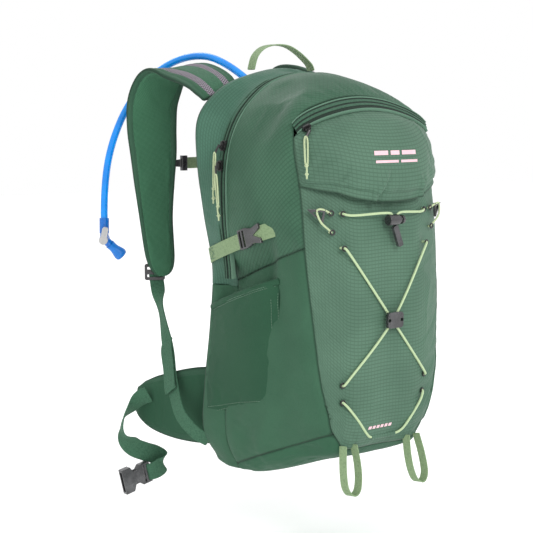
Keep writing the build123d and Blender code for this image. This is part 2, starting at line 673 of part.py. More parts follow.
compression_strap = ribbon([
    (strap_point(y, 4.4), WEB_20, (0, STRAP_RISE, 1)) for y in (84.0, 66.0, 48.0, 30.0, BUCKLE_START_Y)
])
keep_pair(compression_strap, "compression_strap")
buckle_run = (strap_point(-30, 4) - strap_point(12, 4)).normalized()
buckle_out = buckle_run.cross(Vector(0, 0, 1)).normalized() * -1
if buckle_out.X > 0:
    buckle_out = buckle_out * -1
hook_plane = Plane(origin=strap_point(0, 4.6), x_dir=buckle_run, z_dir=buckle_out)
with BuildPart() as compression_buckle:
    with BuildSketch(hook_plane):
        with BuildLine():
            Polyline((-11, -12), (3, -12), (14, -9), (27, -12), (27, -6), (15, 0), (27, 6), (27, 12),
                     (14, 9), (3, 12), (-11, 12), close=True)
        make_face()
        with Locations((-7.4, 0), (-1.6, 0)):
            Rectangle(3, 20, mode=Mode.SUBTRACT)
    extrude(amount=4.2)
keep_pair(compression_buckle, "compression_buckle")
with BuildPart() as compression_loops:
    with BuildSketch(Plane(origin=strap_point(-37, 2.6), x_dir=buckle_run, z_dir=buckle_out)):
        Rectangle(16, WEB_20)
    extrude(amount=2.8)
    with BuildSketch(Plane(origin=strap_point(-56, 1.4), x_dir=buckle_run, z_dir=buckle_out)):
        Rectangle(21, 21)
    extrude(amount=1.2)
    mirror(about=Plane.YZ)
keep(compression_loops, "compression_loops")

# ---------------------------------------------------------------- front: eyelets, hooks, elastic
EYELETS = [(63.4, 330.0), (64.2, 290.0), (64.3, 129.0), (62.9, 108.0), (77.5, 331.0), (77.5, 309.0)]
CORD_OFF = 6.0                # cord centre above the fabric


def on_front(x, z, rise=CORD_OFF):
    """Point in front of the fabric at x and z."""
    return Vector(x, front_y(x, z) - rise, z)


with BuildPart() as eyelets:
    for x, z in EYELETS:
        with BuildSketch(Plane(origin=on_front(-x, z, 4.0), x_dir=(1, 0, 0), z_dir=(-0.25, -0.97, 0))):
            Circle(3.6)
            Circle(1.8, mode=Mode.SUBTRACT)
        extrude(amount=1.2)
    mirror(about=Plane.YZ)
keep(eyelets, "eyelets")

CLIP_X, CLIP_Z = 4.5, 202.0
clip_cord_y = front_y(CLIP_X, CLIP_Z) - CORD_OFF
with BuildPart() as bungee_clip:
    with BuildSketch(Plane.XZ.offset(-clip_cord_y + ELASTIC_D / 2 + 0.1)):
        with Locations((CLIP_X, CLIP_Z)):
            RectangleRounded(24, 19, 4)
            with PolarLocations(9.5, 2, start_angle=0):
                Circle(2.2, mode=Mode.SUBTRACT)
    extrude(amount=4.5)
keep(bungee_clip, "bungee_clip")

with BuildPart() as tool_hooks:
    hook_plane = Plane(
        origin=(-94, front_y(-94, 330) - 6.0, 330), x_dir=(0.87, -0.49, 0), z_dir=(-0.49, -0.87, 0)
    )
    with BuildSketch(hook_plane):
        with BuildLine():
            Polyline((-11, 6), (11, 6), (8, -11), close=True)
        make_face()
        with BuildLine():
            Polyline((-5, 3), (8, 3), (6, -6), close=True)
        make_face(mode=Mode.SUBTRACT)
    extrude(amount=3.4)
    mirror(about=Plane.YZ)
keep(tool_hooks, "tool_hooks")


def cord_run(points):
    """One taut length of elastic through the given points."""
    with BuildPart() as run:
        for start, end in zip(points, points[1:]):
            start, end = Vector(*start), Vector(*end)
            with BuildSketch(Plane(origin=start, z_dir=(end - start).normalized())):
                Circle(ELASTIC_D / 2)
            extrude(amount=(end - start).length)
        if len(points) > 2:
            with Locations(*[Location(Vector(*p)) for p in points[1:-1]]):
                Sphere(ELASTIC_D / 2)
    return run.part


clip_middle = Vector(CLIP_X, clip_cord_y, CLIP_Z)
with BuildPart() as bungee:
    for side in (-1, 1):
        add(cord_run([on_front(side * 64.2, 290.0), clip_middle]))
        add(cord_run([on_front(side * 64.3, 129.0), clip_middle]))
        lower_run = [on_front(side * 62.9, 108.0), on_front(side * 46, 88, 6.0), on_front(side * 20, 62, 6.0)]
        add(cord_run(lower_run))
    add(cord_run([on_front(-20, 62, 6.0), on_front(20, 62, 6.0)]))
keep(bungee, "bungee")

LOCK_Y = front_y(3, 322) - 10.0
LOCK_Z = 321.0
with BuildPart() as bungee_top:
    for side in (-1, 1):
        add(cord_run([on_front(side * 63.4, 330.0), (2 + side * 4.4, LOCK_Y, LOCK_Z + 8.4)]))
keep(bungee_top, "bungee_top")

with BuildPart() as cord_lock:
    with BuildSketch(Plane(origin=(-8, LOCK_Y, LOCK_Z), z_dir=(1, 0, 0))):
        Circle(6.6)
    extrude(amount=16)
    fillet(cord_lock.edges().filter_by(GeomType.CIRCLE), 1.2)
    with BuildSketch(Plane(origin=(8.1, LOCK_Y, LOCK_Z), z_dir=(-1, 0, 0))):
        Circle(4.6)
    extrude(amount=12, mode=Mode.SUBTRACT)
keep(cord_lock, "cord_lock")
with BuildPart() as lock_button:
    with BuildSketch(Plane(origin=(0.6, LOCK_Y, LOCK_Z), z_dir=(1, 0, 0))):
        Circle(4.3)
    extrude(amount=11)
    with BuildSketch(Plane(origin=(11.6, LOCK_Y, LOCK_Z), z_dir=(1, 0, 0))):
        Ellipse(5.4, 6.2)
    extrude(amount=3.6)
    fillet(lock_button.faces().sort_by(Axis.X)[-1].edges(), 1.2)
keep(lock_button, "lock_button")
TAIL_RUN = Vector(0.36, 0, -0.93)
tail_start = Vector(3.0, LOCK_Y + 0.5, LOCK_Z - 7.4)
with BuildPart() as cord_end:
    with BuildSketch(Plane(origin=tail_start + TAIL_RUN * 13, x_dir=TAIL_RUN, z_dir=(0, -1, 0))):
        RectangleRounded(26, 7.5, 2)
    extrude(amount=2.2, both=True)
keep(cord_end, "cord_end")

# ---------------------------------------------------------------- joint axes, in the hung frame
def hung(point):
    """A point of the pack's axes, in metres from the haul loop's crown."""
    return [round((a - b) / 1000, 5) for a, b in zip(Vector(*point), (0, HANG_Y, HANG_Z))]


for name, point in (
    ("arch centre", (0, ZIP_Y, ARCH_Z)), ("upper pull", upper_pivot), ("lower pull", lower_pivot),
    ("pocket arc centre", POCKET_CENTRE), ("pocket pull", pocket_pivot), ("valve boss", ELBOW_POINT),
    ("hip buckle bar", HIP_BUCKLE), ("tool loop", TOOL_LOOP_PIVOT), ("wing root", WING_STATIONS[0][0]),
):
    print(name, hung(point))
print("buckle run", buckle_run, "lever axis", LEVER_AXIS, "tail run", TAIL_RUN, "buckle out", buckle_out)
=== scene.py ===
# %% [markdown]
# # A day pack with a drinking hose
# This lesson dresses a finished mechanical model of a day pack in cloth, webbing, cord and
# moulded plastic. The hard pieces, such as buckles and sliders, come from the model and stay where
# they are. Every soft piece is made here, as a surface worked out with numpy, and all but the hip
# pads then ride on the body that carries them.

# %% Load the frame
import math

import bpy
import numpy as np
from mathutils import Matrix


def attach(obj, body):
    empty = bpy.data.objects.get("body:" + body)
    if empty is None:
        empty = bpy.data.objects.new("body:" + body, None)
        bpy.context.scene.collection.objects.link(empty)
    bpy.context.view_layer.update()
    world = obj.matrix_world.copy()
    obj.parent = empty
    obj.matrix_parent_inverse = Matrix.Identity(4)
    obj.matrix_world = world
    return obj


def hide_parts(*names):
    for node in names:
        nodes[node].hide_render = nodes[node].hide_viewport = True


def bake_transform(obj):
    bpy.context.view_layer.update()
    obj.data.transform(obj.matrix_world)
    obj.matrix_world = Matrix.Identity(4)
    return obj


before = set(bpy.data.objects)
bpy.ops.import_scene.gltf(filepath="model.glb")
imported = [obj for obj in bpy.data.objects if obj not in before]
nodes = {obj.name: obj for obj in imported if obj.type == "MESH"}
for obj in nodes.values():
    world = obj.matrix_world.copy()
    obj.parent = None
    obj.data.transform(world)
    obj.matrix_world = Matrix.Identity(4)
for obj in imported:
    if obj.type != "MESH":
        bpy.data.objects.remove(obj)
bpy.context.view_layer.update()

# %% [markdown]
# ## Pack axes
# A bag is easiest to draw standing: X to the right seen from the front, Y from the front to the
# wearer, Z up from the underside, in millimetres. The finished pack hangs from its haul loop, so one
# small function moves every point into the frame's own metres.

# %% From pack millimetres to the hung frame's metres
HANG = np.array([0.0, 92.0, 531.0])
MIRROR = np.array([-1.0, 1.0, 1.0])
HANDS = (("left", 1.0), ("right", -1.0))
CURVE_STEPS = 24                         # samples between two given points of a curve
LATTICE = 17                             # random values along each side of the noise lattice


def hang(points):
    """Pack millimetres to hung metres: (p - HANG) / 1000."""
    return (np.asarray(points, float) - HANG) / 1000


def smooth(x, low, high):
    """Smooth step: 0 below low, 1 above high, 3s^2 - 2s^3 between."""
    s = np.clip((np.asarray(x, float) - low) / (high - low), 0, 1)
    return s * s * (3 - 2 * s)


def ease(x, xs, ys):
    """Monotone cubic through (xs, ys), ys with any number of columns; slopes are harmonic means."""
    xs, ys = np.asarray(xs, float), np.asarray(ys, float)
    ys = ys.reshape(len(xs), -1)
    step = np.diff(ys, axis=0) / np.diff(xs)[:, None]
    before, after = step[:-1], step[1:]
    same = before * after > 0
    middle = np.where(same, 2 * before * after / np.where(same, before + after, 1), 0)
    slope = np.vstack([step[:1], middle, step[-1:]])
    x = np.clip(np.asarray(x, float), xs[0], xs[-1])
    i = np.clip(np.searchsorted(xs, x, side="right") - 1, 0, len(xs) - 2)
    gap = (xs[i + 1] - xs[i])[..., None]
    s = (x - xs[i])[..., None] / gap
    return (
        ys[i] * (1 + 2 * s) * (1 - s) ** 2 + slope[i] * gap * s * (1 - s) ** 2
        + ys[i + 1] * s * s * (3 - 2 * s) + slope[i + 1] * gap * s * s * (s - 1)
    )


def through(points, count):
    """Catmull-Rom curve through points, resampled to count points evenly spaced by length."""
    p = np.asarray(points, float)
    p = np.vstack([2 * p[0] - p[1], p, 2 * p[-1] - p[-2]])
    s = np.linspace(0, 1, CURVE_STEPS, endpoint=False)[None, :, None]
    a, b, c, d = (p[k:len(p) - 3 + k][:, None, :] for k in range(4))
    run = 0.5 * (2 * b + (c - a) * s + (2 * a - 5 * b + 4 * c - d) * s**2 + (3 * b - a - 3 * c + d) * s**3)
    run = np.vstack([run.reshape(-1, p.shape[1]), p[-2]])
    along = running(run[:, :3])
    even = np.linspace(0, along[-1], count)
    return np.stack([np.interp(even, along, run[:, k]) for k in range(run.shape[1])], 1)


def bilinear(field, i, j, s, t):
    """Value of a grid s of the way from row i to the next, t of the way from column j to the next."""
    near = field[i, j] * (1 - t) + field[i, j + 1] * t
    far = field[i + 1, j] * (1 - t) + field[i + 1, j + 1] * t
    return near * (1 - s) + far * s


def running(line):
    """Length along a line of points, from 0."""
    return np.concatenate([[0], np.cumsum(np.linalg.norm(np.diff(line, axis=0), axis=1))])


def lattice_noise(points, size, seed):
    """Smooth noise from -1 to 1: random values on a lattice of that size in mm, smoothly blended."""
    values = np.random.default_rng(seed).uniform(-1, 1, (LATTICE,) * 3)
    p = np.asarray(points, float) / size + 100.0
    cell = np.floor(p).astype(int)
    s = p - cell
    s = s * s * (3 - 2 * s)
    total = 0.0
    for corner in np.ndindex(2, 2, 2):
        weight = np.prod(np.where(corner, s, 1 - s), axis=-1)
        index = (cell + corner) % LATTICE
        total = total + weight * values[index[..., 0], index[..., 1], index[..., 2]]
    return total


print("helpers ready: the loop's crown is", hang(HANG))

# %% [markdown]
# ## From a grid of points to a mesh
# Nearly every piece here is a grid: rows by columns of points. Some grids are open, like a cloth
# panel; some close round, like a webbing with its four sides. One function turns either into a
# mesh, with a UV map in metres so that a weave keeps its size, and attributes for the materials.


# %% Grid to mesh
def unit(v):
    """Vectors scaled to length 1."""
    return v / np.maximum(np.linalg.norm(v, axis=-1, keepdims=True), 1e-12)


def grid_normals(p):
    """Cross product of the two directions of a grid, by central differences."""
    return unit(np.cross(np.gradient(p, axis=0), np.gradient(p, axis=1)))


def lay(name, grid, uv=None, round_grid=False, materials=(), columns=None, marks=None, inside=None):
    """A mesh from a grid of pack points. round_grid closes the columns and caps both ends; columns
    gives a material number for each column; marks are named values per point; inside is a point that
    an open grid turns its back to."""
    grid = np.asarray(grid, float)
    rows, cols = grid.shape[:2]
    spans = cols if round_grid else cols - 1
    i, j = np.meshgrid(np.arange(rows - 1), np.arange(spans), indexing="ij")
    nxt = (j + 1) % cols
    quads = np.stack([i * cols + j, (i + 1) * cols + j, (i + 1) * cols + nxt, i * cols + nxt],
                     -1).reshape(-1, 4)
    corner_i = np.stack([i, i + 1, i + 1, i], -1).reshape(-1, 4)
    corner_j = np.stack([j, j, j + 1, j + 1], -1).reshape(-1, 4)
    flat = grid.reshape(-1, 3)
    a, b, c, d = (flat[quads[:, k]] for k in range(4))
    normal = np.cross(c - a, d - b)
    middle = (a + b + c + d) / 4
    if round_grid:
        outward = float(np.sum(normal * (middle - flat.mean(0)))) >= 0
    else:
        heart = np.array([0.0, 0.0, 250.0] if inside is None else inside)
        outward = float(np.sum(normal * (middle - heart))) >= 0
    if not outward:
        quads, corner_i, corner_j = quads[:, ::-1], corner_i[:, ::-1], corner_j[:, ::-1]
    faces = quads.tolist()
    if round_grid:
        first, last = list(range(cols)), list(range((rows - 1) * cols, rows * cols))
        faces += [first[::-1], last] if not outward else [first, last[::-1]]
    mesh = bpy.data.meshes.new(name)
    mesh.from_pydata(hang(flat).tolist(), [], faces)
    if uv is not None:
        layer = mesh.uv_layers.new(name="cut")
        values = np.zeros((len(mesh.loops), 2))
        values[:quads.size] = np.asarray(uv)[corner_i.ravel(), corner_j.ravel()]
        layer.data.foreach_set("uv", values.ravel())
    for material in materials:
        mesh.materials.append(material)
    if columns is not None:
        numbers = np.zeros(len(faces), int)
        numbers[:len(quads)] = np.asarray(columns)[j.ravel()]
        mesh.polygons.foreach_set("material_index", numbers)
    for mark, value in (marks or {}).items():
        mesh.attributes.new(mark, "FLOAT", "POINT").data.foreach_set("value",
                                                                     np.ravel(value).astype(np.float32))
    mesh.polygons.foreach_set("use_smooth", np.ones(len(faces), bool))
    mesh.validate()
    piece = bpy.data.objects.new(name, mesh)
    bpy.context.scene.collection.objects.link(piece)
    print(f"{name}: {len(mesh.vertices)} points, {len(mesh.polygons)} faces")
    return piece


def give(piece, body, slot, *stands_for):
    """Ride on a body and stand for CAD nodes; slot is not used."""
    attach(piece, body)
    if stands_for:
        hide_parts(*stands_for)
    return piece


# %% [markdown]
# ## Cloth by simulation
# A stuffed panel is tight in the middle and held at its seams. Blender's cloth solver gives that
# for free: the seam points are pinned, the cloth is cut a little too large, and air pressure
# pushes it out until it buckles into small folds. A limit on the movement keeps each panel in the room
# that it has.


# %% Pressure against pinned seams
SETTLE_FRAMES = 14
CLOTH_STIFFNESS = 12.0


def settle(piece, pinned, pressure, spare, limit):
    """Run the solver and keep its result, with no point moved more than limit mm.
    pinned: 1 where held; spare: share of extra cloth."""
    mesh = piece.data
    rest = np.zeros(len(mesh.vertices) * 3)
    mesh.vertices.foreach_get("co", rest)
    held = piece.vertex_groups.new(name="held")
    weights = np.ravel(pinned)
    for share in np.unique(np.round(weights, 1)):
        held.add(np.flatnonzero(np.round(weights, 1) == share).tolist(), float(share), "REPLACE")
    cloth = piece.modifiers.new("settle", "CLOTH")
    cloth.settings.quality = 6
    cloth.settings.mass = 0.15
    cloth.settings.tension_stiffness = cloth.settings.compression_stiffness = CLOTH_STIFFNESS
    cloth.settings.shear_stiffness = CLOTH_STIFFNESS / 3
    cloth.settings.bending_stiffness = 0.08
    cloth.settings.shrink_min = -spare
    cloth.settings.use_pressure = True
    cloth.settings.uniform_pressure_force = pressure
    cloth.settings.vertex_group_mass = "held"
    cloth.settings.effector_weights.gravity = 0
    cloth.point_cache.frame_start, cloth.point_cache.frame_end = 1, SETTLE_FRAMES
    for number in range(1, SETTLE_FRAMES + 1):
        bpy.context.scene.frame_set(number)
    shaped = piece.evaluated_get(bpy.context.evaluated_depsgraph_get()).data
    found = np.zeros(len(mesh.vertices) * 3)
    shaped.vertices.foreach_get("co", found)
    piece.modifiers.remove(cloth)
    piece.vertex_groups.remove(held)
    moved = (found - rest).reshape(-1, 3)
    length = np.linalg.norm(moved, axis=1, keepdims=True)
    room = limit / 1000
    moved *= room * np.tanh(length / room) / np.maximum(length, 1e-9)
    mesh.vertices.foreach_set("co", (rest.reshape(-1, 3) + moved).ravel())
    mesh.update()
    bpy.context.scene.frame_set(1)
    print(f"{piece.name}: settled, moved up to {length.max() * 1000:.1f} mm before the limit")
    return piece


def relief(piece, heights):
    """Move each point of an open grid along its normal by a height in mm: p + n h / 1000."""
    mesh = piece.data
    count = len(mesh.vertices)
    place, normal = np.zeros(count * 3), np.zeros(count * 3)
    mesh.vertices.foreach_get("co", place)
    mesh.vertex_normals.foreach_get("vector", normal)
    mesh.vertices.foreach_set("co", place + normal * np.repeat(np.ravel(heights) / 1000, 3))
    mesh.update()
    return piece


def refine(piece):
    """One subdivision, the same in the viewport and the render."""
    step = piece.modifiers.new("finer", "SUBSURF")
    step.levels = step.render_levels = 1
    return piece


def thicken(piece, millimetres):
    """Give an open panel its cloth's thickness, inwards."""
    wall = piece.modifiers.new("cloth", "SOLIDIFY")
    wall.thickness = millimetres / 1000
    wall.offset = -1
    return piece


# %% [markdown]
# ## The bag's outline
# The bag is described by upright outlines, one for each depth, from the wearer's back to the
# front. Each is a row of half widths at fixed shares of its height. Between rows and between
# levels everything is eased, so the result is one smooth skin that any panel can be cut from.

# %% Outlines of the bag
LEVELS = np.array([0.0, 0.03, 0.10, 0.22, 0.36, 0.50, 0.64, 0.78, 0.88, 0.95, 0.985, 1.0])
ZIP_Y = 50.0
ARCH_RADIUS, ARCH_Z = 120.0, 372.0
ARCH_TOP = ARCH_RADIUS + ARCH_Z


def arch(levels):
    """Half widths of the zipper's circle: sqrt(r^2 - (z - centre)^2)."""
    return [math.sqrt(max(ARCH_RADIUS**2 - (ARCH_TOP * level - ARCH_Z) ** 2, 0)) for level in levels]


# Each row: depth, underside, top, then a half width for each level.
OUTLINES = np.array([
    [92, 2, 501, 88, 106, 124, 121, 113, 109, 122, 132, 129, 95, 48, 0],
    [60, 0, 493, 87, 105, 121, 119, 114, 111, 120] + arch(LEVELS[7:]),
    [50, 0, 492, 86, 104, 118, 118, 115, 112, 120] + arch(LEVELS[7:]),
    [40, 1, 492, 86, 104, 117, 118, 115, 112, 120] + arch(LEVELS[7:]),
    [0, 12, 488, 84, 102, 114, 117, 116, 114, 119, 117, 103, 74, 42, 0],
    [-62, 34, 463, 68, 82, 96, 102, 106, 107, 108, 107, 106, 92, 52, 0],
    [-85, 40, 430, 60, 74, 90, 98, 102, 104, 104, 101, 93, 70, 38, 0],
    [-100, 50, 398, 48, 62, 82, 92, 94, 93, 88, 80, 66, 42, 22, 0],
    [-108, 72, 372, 26, 40, 60, 68, 70, 69, 66, 60, 45, 26, 13, 0],
    [-113, 150, 345, 10, 14, 20, 28, 32, 33, 32, 28, 20, 12, 6, 0],
], float)[::-1]
FRONT_Y = -113.0
DEPTHS = np.arange(FRONT_Y, 93.0, 1.0)
AROUND = 241                             # samples from the foot to the crown of an outline
rows = ease(DEPTHS, OUTLINES[:, 0], OUTLINES[:, 1:])
half_x, half_z = np.zeros((len(DEPTHS), AROUND)), np.zeros((len(DEPTHS), AROUND))
for number, row in enumerate(rows):
    low, high, halves = row[0], row[1], row[2:]
    heights = low + LEVELS * (high - low)
    outline = np.vstack([
        [(-halves[1], heights[1]), (-halves[0], low), (0, low)],
        np.stack([halves, heights], 1),
        [(-halves[-2], heights[-2])],
    ])
    dense = through(outline, 900)
    part = dense[dense[:, 0] >= -1e-6]
    start = np.argmin(np.abs(part[:, 0]) + (part[:, 1] > low + 60) * 999)
    part = part[start:]
    along = running(part)
    even = np.linspace(0, along[-1], AROUND)
    half_x[number] = np.interp(even, along, part[:, 0])
    half_z[number] = np.interp(even, along, part[:, 1])
half_x[:, 0] = half_x[:, -1] = 0.0
print("outline of the widest row:", half_x.max().round(1), "mm half width,", half_z.max().round(1), "mm high")


def skin(q, y):
    """Point of the bag at turn q and depth y: q runs 0..1 up the left side, 1..2 down the right,
    and from 0 to -1 up the right."""
    q, y = np.broadcast_arrays(np.asarray(q, float), np.asarray(y, float))
    left = (q >= 0) & (q <= 1)
    t = np.where(q < 0, -q, np.where(q <= 1, q, 2 - q)) * (AROUND - 1)
    row = np.clip(y - FRONT_Y, 0, len(DEPTHS) - 1.001)
    i, j = row.astype(int), np.clip(t.astype(int), 0, AROUND - 2)
    a, b = row - i, np.clip(t - j, 0, 1)
    x, z = (bilinear(field, i, j, a, b) for field in (half_x, half_z))
    return np.stack([np.where(left, -x, x), y, z], -1)


def turn_at(z, y):
    """Turn q on the left side where the bag at depth y is at height z, by halving."""
    z, y = np.broadcast_arrays(np.asarray(z, float), np.asarray(y, float))
    low, high = np.zeros(z.shape), np.ones(z.shape)
    for _ in range(16):
        middle = (low + high) / 2
        under = skin(middle, y)[..., 2] < z
        low, high = np.where(under, middle, low), np.where(under, high, middle)
    return (low + high) / 2


def half_width(y, z):
    """Half width of the bag at depth y and height z."""
    return -skin(turn_at(z, y), y)[..., 0]


# %% [markdown]
# ## The front as a height map
# The front panel and the pocket above it face forward, so they are easier to draw as depths over
# X and Z. Turning the skin inside out gives that map: at each place, the foremost depth where the bag is
# still that wide. A light blur rounds its crown.

# %% Depth of the front
MAP_STEP = 2.0
FX, FZ = np.arange(-140.0, 141.0, MAP_STEP), np.arange(0.0, 512.0, MAP_STEP)
wide = np.stack([np.interp(FZ, hz, hx, left=0, right=0) for hx, hz in zip(half_x, half_z)])
forward = DEPTHS < 30
front_map = np.stack([
    np.interp(np.abs(FX), np.maximum.accumulate(wide[forward, k]), DEPTHS[forward]) for k in range(len(FZ))
])


def blur(field, reach):
    """Running mean over 2 * reach + 1 cells in both directions, three times."""
    size = 2 * reach + 1
    for axis in (0, 1, 0, 1, 0, 1):
        wider = np.pad(field, [(reach, reach) if k == axis else (0, 0) for k in (0, 1)], mode="edge")
        total = np.cumsum(np.pad(wider, [(1, 0) if k == axis else (0, 0) for k in (0, 1)]), axis)
        last = total.shape[axis]
        field = (np.take(total, range(size, last), axis) - np.take(total, range(last - size), axis)) / size
    return field


def look_up(field, x, z):
    """Bilinear value of a front map at x, z."""
    i = np.clip((np.asarray(z, float) - FZ[0]) / MAP_STEP, 0, len(FZ) - 1.001)
    j = np.clip((np.asarray(x, float) - FX[0]) / MAP_STEP, 0, len(FX) - 1.001)
    a, b = i.astype(int), j.astype(int)
    return bilinear(field, a, b, i - a, j - b)


def leaning_y(z):
    """A straight line near the front seam: 60 mm forward at z 440, and 1 mm more for each 8 mm down."""
    return -60 - (440 - np.asarray(z, float)) / 8


SEAM_Z = np.arange(40.0, 470.0, 6.0)
seam_half = half_width(leaning_y(SEAM_Z), SEAM_Z)


def seam_x(z):
    """Half width of the bag along that line."""
    return np.interp(z, SEAM_Z, seam_half)


gx, gz = np.meshgrid(FX, FZ)
share = np.abs(gx) / np.maximum(seam_x(gz), 1)
soft_map = blur(front_map, 4)
inner = 1 - smooth(share, 0.62, 0.97)
front_map = front_map * (1 - inner) + soft_map * inner
front_depth = lambda x, z: look_up(front_map, x, z)
print("front: deepest point", front_map.min().round(1), "mm; seam half width at z 300:",
      seam_x(300.0).round(1))

# %% [markdown]
# ## Colours and weaves
# A material here is a few layers of one idea: a base colour that varies a little, a weave drawn from
# the piece's own UV map in metres, and darker grooves where the panel is sewn, read from an
# attribute that holds the distance to the nearest seam. Numbers that are the same everywhere stay on
# the shader's own sockets.


# %% A small language for shader nodes
class Paint:
    """A material and short ways of adding nodes to it."""

    def __init__(self, name, roughness=0.6, metallic=0.0, sheen=0.0, coat=0.0):
        self.material = bpy.data.materials.new(name)
        self.material.use_nodes = True
        self.tree = self.material.node_tree
        self.shader = self.tree.nodes["Principled BSDF"]
        self.shader.inputs["Roughness"].default_value = roughness
        self.shader.inputs["Metallic"].default_value = metallic
        self.shader.inputs["Sheen Weight"].default_value = sheen
        self.shader.inputs["Sheen Roughness"].default_value = 0.4
        self.shader.inputs["Coat Weight"].default_value = coat
        self.shader.inputs["Specular IOR Level"].default_value = 0.28 if sheen else 0.5

    def plug(self, value, spot):
        """Link a socket, or set a number or a colour of three parts."""
        if isinstance(value, bpy.types.NodeSocket):
            self.tree.links.new(value, spot)
        else:
            spot.default_value = (*value, 1) if isinstance(value, tuple) else value

    def node(self, kind, **inputs):
        """A node of that kind with its inputs filled by name."""
        made = self.tree.nodes.new(kind)
        for key, value in inputs.items():
            self.plug(value, made.inputs[key.replace("_", " ")])
        return made

    def math(self, operation, a, b=0.0, c=0.0):
        """One arithmetic step."""
        made = self.tree.nodes.new("ShaderNodeMath")
        made.operation = operation
        for spot, value in zip(made.inputs, (a, b, c)):
            self.plug(value, spot)
        return made.outputs[0]

    def cut(self):
        """The UV map's two axes, in metres."""
        split = self.node("ShaderNodeSeparateXYZ", Vector=self.node("ShaderNodeUVMap").outputs[0])
        return split.outputs[0], split.outputs[1]

    def mark(self, name):
        """A named value on the mesh."""
        made = self.tree.nodes.new("ShaderNodeAttribute")
        made.attribute_name = name
        return made.outputs["Fac"]

    def ramp(self, value, low, high, from_=0.0, to=1.0):
        """Value mapped from low..high to from_..to, smoothly and clamped."""
        made = self.node("ShaderNodeMapRange", Value=value, From_Min=low, From_Max=high, To_Min=from_,
                         To_Max=to)
        made.interpolation_type = "SMOOTHSTEP"
        return made.outputs[0]

    def noise(self, scale, detail):
        """Noise over the piece's own coordinates, scale per metre."""
        place = self.node("ShaderNodeTexCoord").outputs["Object"]
        return self.node("ShaderNodeTexNoise", Vector=place, Scale=scale, Detail=detail).outputs["Fac"]

    def lines(self, axis, pitch, width):
        """1 on a thread of that width in every pitch, both in metres, 0 elsewhere."""
        wave = self.math("PINGPONG", axis, pitch / 2)
        return self.ramp(wave, width * 0.35, width * 0.75, 1.0, 0.0)

    def mix(self, share, a, b):
        """Colour a to colour b by share."""
        made = self.tree.nodes.new("ShaderNodeMix")
        made.data_type = "RGBA"
        for number, value in ((0, share), (6, a), (7, b)):
            self.plug(value, made.inputs[number])
        return made.outputs[2]

    def finish(self, colour, height=None, distance=0.0003, strength=1.0, roughness=None):
        """Plug in the colour, a bump of that depth in metres, and a varying roughness."""
        self.plug(colour, self.shader.inputs["Base Color"])
        if height is not None:
            bump = self.node("ShaderNodeBump", Height=height, Distance=distance, Strength=strength)
            self.tree.links.new(bump.outputs[0], self.shader.inputs["Normal"])
        if roughness is not None:
            self.tree.links.new(roughness, self.shader.inputs["Roughness"])
        return self.material


def seam_shade(paint, colour, deep):
    """Darken the last 3 mm before a seam, read from the mark 'seam' in mm."""
    groove = paint.ramp(paint.mark("seam"), 0.0, 3.2, 1.0, 0.0)
    return paint.mix(paint.math("MULTIPLY", groove, 0.75), colour, deep)


# %% [markdown]
# ## Ripstop
# The bag's main cloth is ripstop: a plain weave with a heavier thread every five millimetres both ways.
# The threads show as a fine darker grid that dents the surface a little. On the sides the cloth is cut
# on the slant, so its grid runs diagonally; the cut angle is a value of the material.


# %% Woven cloths
def ripstop(name, base, light, deep, angle=0.0, pitch=0.0050):
    """Coated ripstop: a grid of heavier threads, turned by the cut's angle in degrees."""
    p = Paint(name, roughness=0.62, sheen=0.06)
    u, v = p.cut()
    c, s = math.cos(math.radians(angle)), math.sin(math.radians(angle))
    a = p.math("ADD", p.math("MULTIPLY", u, c), p.math("MULTIPLY", v, s))
    b = p.math("SUBTRACT", p.math("MULTIPLY", v, c), p.math("MULTIPLY", u, s))
    across, along = p.lines(a, pitch, 0.0010), p.lines(b, pitch * 0.84, 0.0011)
    grid = p.math("MAXIMUM", p.math("MULTIPLY", across, 0.7), along)
    cloud = p.ramp(p.noise(14.0, 4.0), 0.3, 0.7)
    colour = p.mix(cloud, base, light)
    colour = p.mix(p.math("MULTIPLY", grid, 0.34), colour, deep)
    colour = seam_shade(p, colour, deep)
    fine = p.math("MULTIPLY", p.noise(900.0, 2.0), 0.35)
    height = p.math("SUBTRACT", fine, p.math("MULTIPLY", grid, 0.8))
    return p.finish(colour, height, 0.00035, 0.55)


def plain_weave(name, base, light, deep, roughness=0.75, sheen=0.04, threads=0.0011, depth=0.0002):
    """A plain or stretch cloth: fine threads both ways, slow changes of tone, dark at the seams."""
    p = Paint(name, roughness=roughness, sheen=sheen)
    u, v = p.cut()
    weave = p.math("MULTIPLY", p.math("SINE", p.math("MULTIPLY", u, 2 * math.pi / threads)),
                   p.math("SINE", p.math("MULTIPLY", v, 2 * math.pi / threads)))
    cloud = p.ramp(p.noise(11.0, 4.0), 0.3, 0.7)
    speck = p.ramp(p.noise(700.0, 1.0), 0.35, 0.65)
    colour = p.mix(p.math("MULTIPLY_ADD", speck, 0.25, p.math("MULTIPLY", cloud, 0.75)), base, light)
    colour = seam_shade(p, colour, deep)
    return p.finish(colour, p.math("MULTIPLY_ADD", weave, 0.5, speck), depth, 0.5)


RIB = 0.0016


def webbing_cloth(name, base, light, deep):
    """Woven webbing: ribs that run in a zigzag across, with darker specks."""
    p = Paint(name, roughness=0.78, sheen=0.04)
    u, v = p.cut()
    zigzag = p.math("PINGPONG", u, RIB)
    ribs = p.math("SINE", p.math("MULTIPLY", p.math("ADD", v, zigzag), 2 * math.pi / RIB))
    speck = p.noise(500.0, 2.0)
    colour = p.mix(p.ramp(ribs, -1.0, 1.0), base, light)
    colour = p.mix(p.ramp(speck, 0.25, 0.6, 0.45, 0.0), colour, deep)
    return p.finish(colour, ribs, 0.00025, 0.6)


